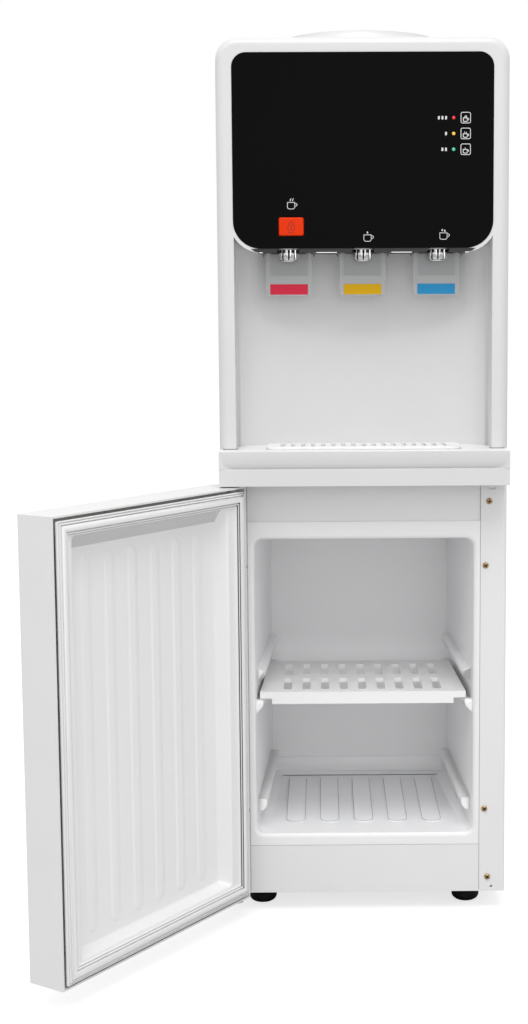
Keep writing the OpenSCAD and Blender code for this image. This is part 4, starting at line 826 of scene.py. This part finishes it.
# %% Run the tree on a list of points
def put_on_points(name, spots_mm, piece, facing, material, most_turn=0.0, size=1.0):
    """Puts a piece on every point and keeps the result as a plain mesh on the cabinet."""
    marks = bpy.data.meshes.new(name + "_marks")
    marks.from_pydata([Vector(spot) * MM for spot in spots_mm], [], [])
    holder = linked(name, marks)
    live = holder.modifiers.new("scatter", "NODES")
    live.node_group = scatter
    settings = {"Piece": piece, "Facing": facing, "Size": size, "Most Turn": most_turn,
                "Finish": material}
    for key, value in settings.items():
        live[socket_of[key]] = value
    ready = evaluated(holder)
    holder.modifiers.clear()
    holder.data = ready
    soften(ready, 35)
    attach(holder, "cabinet")
    print(name, "copies:", len(spots_mm), "faces:", len(ready.polygons))
    return holder


# %% Drive the front screws
FORWARD = (math.pi / 2, 0, 0)
BACKWARD = (-math.pi / 2, 0, 0)
ANY_TURN = 2 * math.pi
front_screws = [(x, -150.2, z) for x, z in (
    (-141.2, 476), (-135.2, 403), (-135.2, 120.1), (-141.2, 39.2),
    (141.2, 476), (137.4, 403), (137.4, 120.1), (141.2, 39.2))]
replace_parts(put_on_points("flange_screws", front_screws, one_screw, FORWARD, zinc_plate,
                          most_turn=ANY_TURN), "cabinet_screws")
put_on_points("flange_screw_recesses", front_screws, one_cross, FORWARD, recess_shade,
              most_turn=ANY_TURN)

# %% Drive the rear screws
# Two columns of six, set in from the edges of the back
REAR_INSET_X, REAR_INSET_Z, REAR_COUNT, REAR_SIZE = 7, 14, 6, 0.9
rear_low, rear_high = (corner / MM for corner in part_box("rear_panel"))
rear_step = (rear_high.z - rear_low.z - 2 * REAR_INSET_Z) / (REAR_COUNT - 1)
rear_screws = [(side * (rear_high.x - REAR_INSET_X), rear_high.y,
                rear_low.z + REAR_INSET_Z + i * rear_step)
               for side in (-1, 1) for i in range(REAR_COUNT)]
put_on_points("rear_screws", rear_screws, one_screw, BACKWARD, bright_zinc,
              most_turn=ANY_TURN, size=REAR_SIZE)
put_on_points("rear_screw_recesses", rear_screws, one_cross, BACKWARD, recess_shade,
              most_turn=ANY_TURN, size=REAR_SIZE)
for item in (one_screw, one_cross):
    bpy.data.objects.remove(item)

# %% [markdown]
# ## Spouts
# Each spout is a chromed brass nozzle with coarse flutes, so that wet fingers can unscrew it for
# cleaning. Chrome has no colour of its own: it shows the white room and the black panel as
# stripes, and the flutes set the stripes' rhythm. The section is a ring of convex ribs, and the
# nozzle narrows to a thin lip below. The grooves between the ribs are painted black, as painted
# dark reflections. The plate that the taps come through is notched round them, so the spouts
# show up to the panel.

# %% The spout's rings
PLATE_Z = 753.8
TAP_Y = -138.0
TAPS = {"hot": -82.5, "warm": 0.0, "cold": 82.5}
# Each ring is a radius, a height over the plate's underside and a share of the flutes' depth
SPOUT_RINGS = [(9.4, 5.0, 0), (10.0, 4.2, 1), (10.8, 3.8, 1), (10.9, 1.0, 1), (10.4, 0.7, 1),
               (10.4, 0.2, 1), (10.9, -0.1, 1), (11.0, -6.4, 1), (10.7, -7.4, 1), (9.2, -8.4, 0.4),
               (8.0, -8.8, 0), (7.8, -9.8, 0), (7.4, -10.0, 0), (6.4, -10.0, 0), (5.2, -9.6, 0),
               (5.0, 5.0, 0)]
FLUTES, FLUTE_DEEP, FLUTE_TURN, FLUTE_SHARP, STEPS_A_FLUTE = 9, 1.5, 0.12, 16, 10


def groove_at(turn):
    """How far a point at this turn lies in a groove: 0 on a rib and 1 at a groove's bottom."""
    return abs(math.cos((turn + FLUTE_TURN) * FLUTES / 2)) ** FLUTE_SHARP


print("spout:", 2 * max(r for r, _, _ in SPOUT_RINGS), "mm across,", FLUTES, "flutes")


# %% Turn the fluted spouts
def fluted_ring(tap_x, radius, height, depth):
    """Points of one ring of a spout: depth says how far the grooves go in."""
    points, count = [], FLUTES * STEPS_A_FLUTE
    for i in range(count):
        turn = 2 * math.pi * i / count
        r = radius - FLUTE_DEEP * depth * groove_at(turn)
        points.append((tap_x + r * math.cos(turn), TAP_Y + r * math.sin(turn), PLATE_Z + height))
    return points


shape = bmesh.new()
for tap_x in TAPS.values():
    skin(shape, [fluted_ring(tap_x, *ring) for ring in SPOUT_RINGS], loop=True)
spouts = new_piece("fluted_spouts", shape, chrome, "cabinet", smooth_below=42)
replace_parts(spouts, "spouts")
print("spout faces:", len(spouts.data.polygons))

# %% Paint dark reflections in the grooves
REFLECTION_LOW, REFLECTION_TOP, REFLECTION_FROM_R, REFLECTION_FROM = -8.2, 4.4, 8.6, 0.3


def in_groove(face):
    """Whether a face of the spouts lies in a groove of the fluted outside."""
    x, y, z = face.center / MM
    x -= min(TAPS.values(), key=lambda tap_x: abs(tap_x - x))
    y -= TAP_Y
    outside = REFLECTION_LOW < z - PLATE_Z < REFLECTION_TOP and math.hypot(x, y) > REFLECTION_FROM_R
    return outside and groove_at(math.atan2(y, x)) > REFLECTION_FROM


print("of them painted reflection:", paint_faces(spouts, groove_reflection, in_groove))

# %% Notch the tap plate
NOTCH_R, NOTCH_STEPS, NOTCH_FRONT = 12.2, 20, -168
cutter_shape = bmesh.new()
for tap_x in TAPS.values():
    notch = [(tap_x + NOTCH_R * math.cos(a), TAP_Y + NOTCH_R * math.sin(a))
             for a in (math.pi * i / NOTCH_STEPS for i in range(NOTCH_STEPS + 1))]
    notch += [(tap_x - NOTCH_R, NOTCH_FRONT), (tap_x + NOTCH_R, NOTCH_FRONT)]
    skin(cutter_shape, [[(x, y, z) for x, y in notch] for z in (PLATE_Z - 3, PLATE_Z + 20)])
notched = bmesh.new()
notched.from_mesh(carve("tap_plate_blank", as_mesh("tap_plate_blank", clean_copy("tap_plate")),
                        as_mesh("notch_cutter", cutter_shape)))
stand_in("tap_plate", notched)
print("notched the tap plate at", sorted(TAPS.values()))

# %% [markdown]
# ## Flat shapes on upright faces
# The prints on the black panel, the windows in the levers and the mark on the button are all thin
# outlines that stand a hair's breadth in front of an upright face. A few helpers draw them as
# closed solids: a filled outline, and a line of even width along a path.


# %% Outlines in X and Z
def arc(cx, cz, r, start, end, steps=8):
    """Points on an arc in X and Z, with its angles in degrees."""
    return [(cx + r * math.cos(math.radians(start + (end - start) * i / steps)),
             cz + r * math.sin(math.radians(start + (end - start) * i / steps)))
            for i in range(steps + 1)]


def round_outline(w, h, r):
    """A rectangle with round corners, centred on the origin."""
    x, z = w / 2 - r, h / 2 - r
    return arc(x, z, r, 0, 90) + arc(-x, z, r, 90, 180) + arc(-x, -z, r, 180, 270) + arc(
        x, -z, r, 270, 360)


def moved(points, dx, dz, size=1.0):
    """Points scaled and moved."""
    return [(x * size + dx, z * size + dz) for x, z in points]


# %% Solids from outlines
def plate(shape, outline, front, back):
    """Adds a filled outline in X and Z that reaches from front to back in Y."""
    skin(shape, [[(x, y, z) for x, z in outline] for y in (front, back)])


def line(shape, path, width, front, back, closed=False):
    """Adds a line of even width along a path in X and Z, with mitred bends."""
    count, rings = len(path), []
    for i, (x, z) in enumerate(path):
        before = path[i - 1] if closed or i > 0 else path[i]
        after = path[(i + 1) % count] if closed or i < count - 1 else path[i]
        a = Vector((x - before[0], z - before[1]))
        b = Vector((after[0] - x, after[1] - z))
        a = a.normalized() if a.length else b.normalized()
        b = b.normalized() if b.length else a
        aside = Vector((-(a + b).y, (a + b).x)).normalized()
        # A sharp bend would shoot out far, so its reach has a limit
        reach = aside * (width / 2 / max(aside.dot(Vector((-a.y, a.x))), 0.5))
        rings.append([(x + side * reach.x, y, z + side * reach.y)
                      for side, y in ((1, front), (-1, front), (-1, back), (1, back))])
    skin(shape, rings, loop=closed)


# %% [markdown]
# ## Prints on the black panel
# White ink is screen-printed on the acrylic. Small cup pictures mark the taps, and boxed ones
# mark the lamps. The cup is drawn once and placed six times, with steam, one drop or two drops
# over it. Beside each lamp, short bars show a level from one to three.

# %% The cup's outlines
PANEL_FACE = -160.5
INK = (PANEL_FACE - 0.15, PANEL_FACE + 0.05)
CUP = [(-4.3, 2.6), *arc(-2.2, -2.3, 2.1, 180, 270, 5), *arc(1.6, -2.3, 2.1, 270, 360, 5),
       (3.7, 2.6)]
HANDLE = [(3.7, 1.6), (5.2, 1.4), *arc(5.2, 0.2, 1.1, 60, -60, 5), (4.9, -1.5), (3.6, -2.1)]
STEAM = [(0, 3.9), (0.9, 4.7), (0.5, 5.6), (1.7, 6.9)]
STEAM_AT = (-1.7, 0.9)
DROP = [(0, 1.5), *arc(0, -0.3, 0.85, 25, -205, 8)]
DROPS_AT = {"warm": [(-0.4, 5.2)], "cold": [(-1.6, 5.6), (1.2, 4.9)]}
print("points of a cup:", len(CUP), "of its handle:", len(HANDLE))


# %% Draw the cups
def cup(shape, x, z, kind, size=1.0, ink=0.6):
    """A cup with steam or drops over it."""
    line(shape, moved(CUP, x, z, size), ink, *INK, closed=True)
    line(shape, moved(HANDLE, x, z, size), ink, *INK)
    for dx, dz in DROPS_AT.get(kind, []):
        plate(shape, moved(DROP, x + dx * size, z + dz * size, size), *INK)
    for start in STEAM_AT if kind == "hot" else ():
        line(shape, moved(STEAM, x + start * size, z, size), ink, *INK)


CUPS_AT = {"hot": (-78.6, 805.0), "warm": (5.0, 769.6), "cold": (88.3, 771.4)}
LAMP_X = 98.9
LAMP_ROWS = {"hot": 897.8, "cold": 880.9, "warm": 864.0}
BOX_SIZE, BOX_R, BOX_LINE, BOX_DX = (10.4, 11.4), 1.8, 0.7, 13.1
SMALL_CUP, SMALL_INK, SMALL_DX, SMALL_DZ = 0.56, 0.8, 12.8, -1.7
shape = bmesh.new()
for kind, (x, z) in CUPS_AT.items():
    cup(shape, x, z, kind)
for kind, z in LAMP_ROWS.items():
    line(shape, moved(round_outline(*BOX_SIZE, BOX_R), LAMP_X + BOX_DX, z), BOX_LINE, *INK,
         closed=True)
    cup(shape, LAMP_X + SMALL_DX, z + SMALL_DZ, kind, size=SMALL_CUP, ink=SMALL_INK)
prints = new_piece("panel_cup_prints", shape, white_print, "cabinet")
print("print faces:", len(prints.data.polygons))

# %% Print the level bars
AS_DRAWN = (0, 0, 0)
BAR_SIZE, BAR_R, BAR_HALF = (2.0, 3.6), 0.5, 0.1
BARS_START, BARS_PITCH, BAR_OUT = 8.4, 3.9, 0.05
LEVELS = {"hot": 3, "cold": 1, "warm": 2}
shape = bmesh.new()
plate(shape, round_outline(*BAR_SIZE, BAR_R), -BAR_HALF, BAR_HALF)
one_bar = linked("one_bar", as_mesh("level_bar", shape))
bar_spots = [(LAMP_X - BARS_START - BARS_PITCH * i, PANEL_FACE - BAR_OUT, LAMP_ROWS[kind])
             for kind, level in LEVELS.items() for i in range(level)]
put_on_points("level_bars", bar_spots, one_bar, AS_DRAWN, white_print)
bpy.data.objects.remove(one_bar)

# %% [markdown]
# ## Lamps and lock button
# Each lamp is a short acrylic rod whose domed end stands in the panel. The lock button carries a
# padlock, printed in a darker orange.

# %% Dome the light pipes
lens_finish = {"hot": lens_red, "cold": lens_amber, "warm": lens_green}
LENS_R, LENS_SIDES = 1.85, 20
# How far each ring stands out of the panel, and its share of the lens's radius
LENS_RINGS = [(-5.5, 1.0), (0.0, 1.0), (0.35, 0.86), (0.6, 0.6), (0.75, 0.3)]
for kind, z in LAMP_ROWS.items():
    shape = bmesh.new()
    skin(shape, [[(LAMP_X + x, PANEL_FACE - out, z + up_by)
                  for x, up_by, _ in circle(share * LENS_R, 0, LENS_SIDES)]
                 for out, share in LENS_RINGS])
    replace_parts(new_piece(f"{kind}_lamp_lens", shape, lens_finish[kind], "cabinet"),
                "lamp_lenses")
print("lamps:", sorted(LAMP_ROWS))

# %% Round the lock button
BUTTON_X, BUTTON_Z = -78.9, 781.5
BUTTON_SIZE = (27.4, 20)
button_face, button_back = (corner.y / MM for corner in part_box("lock_button"))
# Each ring is set in, stands back from the button's face and has its own corner radius
BUTTON_RINGS = [(1.6, 0.0, 1.6), (0.9, 0.25, 2.0), (0.3, 0.9, 2.3), (0.0, 1.6, 2.4),
                (0.0, 4.0, 2.4)]
FLANGE_SIZE, FLANGE_R, FLANGE_DROP = (31.4, 24), 1, 2
shape = bmesh.new()
skin(shape, [[(x, button_face + behind, z) for x, z in moved(
    round_outline(*(side - 2 * inset for side in BUTTON_SIZE), radius), BUTTON_X, BUTTON_Z)]
    for inset, behind, radius in BUTTON_RINGS])
plate(shape, moved(round_outline(*FLANGE_SIZE, FLANGE_R), BUTTON_X, BUTTON_Z - FLANGE_DROP),
      button_face + BUTTON_RINGS[-1][1], button_back)
stand_in("lock_button", shape, smooth_below=50)
print("button face at y", round(button_face, 2), "back at", round(button_back, 2))

# %% Print the padlock
LOCK_INK = (button_face - 0.12, button_face + 0.05)
SHACKLE = [(-2.2, 0.2), (-2.2, 1.8), *arc(0, 1.8, 2.2, 180, 0, 8), (2.2, 0.2)]
shape = bmesh.new()
line(shape, moved(SHACKLE, BUTTON_X, BUTTON_Z + 1.4), 0.9, *LOCK_INK)
line(shape, moved(round_outline(7.4, 5.0, 0.8), BUTTON_X, BUTTON_Z - 1.2), 0.7, *LOCK_INK,
     closed=True)
plate(shape, moved(round_outline(1.6, 2.0, 0.5), BUTTON_X, BUTTON_Z - 1.2), *LOCK_INK)
plate(shape, moved(round_outline(7.4, 0.9, 0.3), BUTTON_X, BUTTON_Z - 6.2), *LOCK_INK)
padlock = new_piece("lock_print", shape, orange_print, "lock_button")
print("padlock faces:", len(padlock.data.polygons))

# %% [markdown]
# ## Lever windows and hooks
# Each lever has a recessed window behind its spout, painted darker as painted shade. Small hooks
# hang from the tap plate at both sides of each lever and keep it from swaying.

# %% Set the lever windows
WINDOW_BACK = TAP_Y + 12.7
WINDOW_THICK = 0.4
WINDOW = [(-20.9, -1.2), (-20.9, -24.0), *arc(-19.7, -24.0, 1.2, 180, 270, 4),
          *arc(19.7, -24.0, 1.2, 270, 360, 4), (20.9, -1.2)]
# The windows' darker finish is painted shade
for kind, x in TAPS.items():
    shape = bmesh.new()
    plate(shape, moved(WINDOW, x, PLATE_Z), WINDOW_BACK - WINDOW_THICK, WINDOW_BACK)
    new_piece(f"{kind}_lever_window", shape, window_shade, f"{kind}_lever")
print("windows at x", sorted(TAPS.values()), "with their backs at y", WINDOW_BACK)

# %% Hang the hooks
HOOK = [(0, 0.2), (4.2, 0.2), (3.0, -1.6), (1.8, -4.4), (1.0, -4.6), (0.3, -2.0)]
HOOK_ASIDE = 26.6
HOOK_FRONT, HOOK_BACK = TAP_Y + 10.6, TAP_Y + 13.4
shape = bmesh.new()
for tap_x in TAPS.values():
    for side in (-1, 1):
        hook = [(side * x, z) for x, z in HOOK]
        plate(shape, moved(hook, tap_x + side * HOOK_ASIDE, PLATE_Z), HOOK_FRONT, HOOK_BACK)
hooks = new_piece("lever_hooks", shape, grey_abs_and_joint_shade, "cabinet")
print("hooks:", 2 * len(TAPS), "faces:", len(hooks.data.polygons))

# %% [markdown]
# ## Trim round the bay
# A strip of white trim runs along the foot of the head. It shows between the levers only, and
# dark wedges end the tap plate at both sides. Where the pillars meet the ledge, the joint holds
# shade.


# %% Trim the foot of the head
def mirrored(shape, outline, front, back):
    """Adds a plate on both sides of the middle, from an outline of the right one."""
    for side in (-1, 1):
        plate(shape, [(side * x, z) for x, z in outline], front, back)


TRIM_SPANS = ((-114.5, -110.5), (-51.5, -29.0), (31.0, 53.5), (112.0, 116.0))
TRIM_LOW, TRIM_TOP = PLATE_Z - 0.95, PLATE_Z - 0.1
shape = bmesh.new()
for start, end in TRIM_SPANS:
    plate(shape, [(start, TRIM_LOW), (end, TRIM_LOW), (end, TRIM_TOP), (start, TRIM_TOP)],
          PANEL_FACE + 0.4, PANEL_FACE + 2.6)
new_piece("plate_edge_trim", shape, white_abs_and_painted_light, "cabinet")
WEDGE = [(115.8, 0.0), (119.5, 0.9), (123.2, 3.7), (115.8, 3.9)]
shape = bmesh.new()
mirrored(shape, moved(WEDGE, 0, PLATE_Z), PANEL_FACE + 0.2, PANEL_FACE + 2.4)
new_piece("plate_end_wedges", shape, dark_abs, "cabinet")
print("lengths of trim:", len(TRIM_SPANS))

# %% Shade the joints of the pillars
PILLAR_JOINT = [(141.6, 536.55), (157.0, 536.55), (157.0, 537.2), (142.4, 537.2),
                (139.8, 538.0), (139.6, 537.5)]
shape = bmesh.new()
mirrored(shape, PILLAR_JOINT, PANEL_FACE + 0.1, PANEL_FACE + 2)
new_piece("pillar_joints", shape, grey_abs_and_joint_shade, "cabinet")
print("joint at height", PILLAR_JOINT[0][1])

# %% [markdown]
# ## The well under the tray
# The ledge is moulded with a well that the drip tray sits in. It is closed below, so that a drop
# beside the tray stays out of the cabinet. It shows only when the tray is lifted out.

# %% Hang the well under the ledge
WELL_SIZE, WELL_R, WELL_WALL = (210.0, 48.0), 5.0, 1.6
WELL_Y, WELL_TOP, WELL_LOW = -140.0, 527.9, 512.5
outer = round_outline(*(side + 2 * WELL_WALL for side in WELL_SIZE), WELL_R + WELL_WALL)
inner = round_outline(*WELL_SIZE, WELL_R)
shape = bmesh.new()
skin(shape, [[(x, WELL_Y + y, z) for x, y in outline]
             for outline, z in ((outer, WELL_LOW), (outer, WELL_TOP), (inner, WELL_TOP),
                                (inner, WELL_LOW + WELL_WALL))])
well = new_piece("tray_well", shape, moulded_abs, "cabinet", smooth_below=40)
print("well faces:", len(well.data.polygons))

# %% [markdown]
# ## Small forms inside the tub
# The tub's mould rounds what a flat drawing leaves square: a hollow cove runs along the foot of
# the back wall, and each shelf rail ends in a rounded nose. The floor pads stand out by their
# edges, drawn as painted shade. The cove and the noses are profiles pushed along a line, and a
# bevel rounds the noses.

# %% Run the cove along the back
BACK_WALL, FLOOR = 104.9, 91.9
COVE = [(90.6, FLOOR + 5.9), (93.0, FLOOR + 6.6), (96.2, FLOOR + 8.4), (99.2, FLOOR + 11.3),
        (101.6, FLOOR + 14.6), (103.4, FLOOR + 19.2), (BACK_WALL, FLOOR + 19.6),
        (BACK_WALL, FLOOR + 5.0), (90.6, FLOOR + 5.0)]
COVE_HALF = 113.2
shape = bmesh.new()
skin(shape, [[(x, y, z) for y, z in COVE] for x in (-COVE_HALF, COVE_HALF)])
new_piece("tub_cove", shape, formed_styrene_and_painted_light, "cabinet", smooth_below=40)
print("cove:", 2 * COVE_HALF, "mm long")

# %% Round the noses of the shelf rails
RAIL_TOP, WALL_X, NOSE_R = 245.7, 124.3, 2.4
NOSE = [(0, 0), (-9.0, 0), (-9.0, -6.5), (-3.5, -12.5), (0, -15.5)]
NOSE_FRONT, NOSE_BACK = -141.5, -129.5
shape = bmesh.new()
mirrored(shape, moved(NOSE, WALL_X, RAIL_TOP), NOSE_FRONT, NOSE_BACK)
nose_edges = round_off(shape, NOSE_R, pick=lambda middle: abs(middle.x) < WALL_X - 0.5,
                       steps=4, least=25)
new_piece("rail_noses", shape, formed_styrene_and_painted_light, "cabinet", smooth_below=60)
print("rounded edges of both noses:", nose_edges)

# %% Paint shade along the edges of the floor pads
# The ring is drawn upright like the other lines, and then laid flat
PAD_HALF, PAD_START, PAD_END = 10.85, -108.0, 80.0
PAD_PITCH, PAD_OVER_FLOOR = 40, 1.12
PAD_RING = [(-PAD_HALF, PAD_END - PAD_HALF),
            *arc(0, PAD_START + PAD_HALF, PAD_HALF, 180, 360, 10), (PAD_HALF, PAD_END - PAD_HALF)]
shape = bmesh.new()
line(shape, PAD_RING, 0.6, 0.0, 0.16)
for vert in shape.verts:
    vert.co.y, vert.co.z = vert.co.z, vert.co.y
bmesh.ops.recalc_face_normals(shape, faces=shape.faces)
one_ring = linked("one_ring", as_mesh("pad_edge", shape))
put_on_points("pad_edges", [(PAD_PITCH * i, 0, FLOOR + PAD_OVER_FLOOR) for i in range(-2, 3)],
              one_ring, AS_DRAWN, pad_shade)
bpy.data.objects.remove(one_ring)

# %% Shade the floor's back edge
EDGE_HALF, EDGE_LOW, EDGE_TOP = 112, 90.4, 91.4
shape = bmesh.new()
plate(shape, [(-EDGE_HALF, EDGE_LOW), (EDGE_HALF, EDGE_LOW), (EDGE_HALF, EDGE_TOP),
              (-EDGE_HALF, EDGE_TOP)], 90.2, 91.2)
new_piece("floor_back_edge", shape, shade_joint, "cabinet")
print("back edge:", 2 * EDGE_HALF, "mm long")

# %% [markdown]
# ## Joints of the front
# The side panels' flanges meet the tub in two upright joints, and the plinth ends in a level one.
# Each is a hair line of shade.

# %% Lay the shaded joints of the front
FRONT, SEAM_X, SEAM_LOW, SEAM_TOP, PLINTH_TOP = -150.0, 131.5, 24, 497.4, 78.2
SEAM = (FRONT - 0.12, FRONT + 0.1)
shape = bmesh.new()
for side in (-1, 1):
    line(shape, [(side * SEAM_X, SEAM_LOW), (side * SEAM_X, SEAM_TOP)], 0.5, *SEAM)
line(shape, [(-SEAM_X, PLINTH_TOP), (SEAM_X, PLINTH_TOP)], 0.3, *SEAM)
new_piece("front_joints", shape, shade_joint, "cabinet")
print("joints of the front: 2 upright and 1 level")
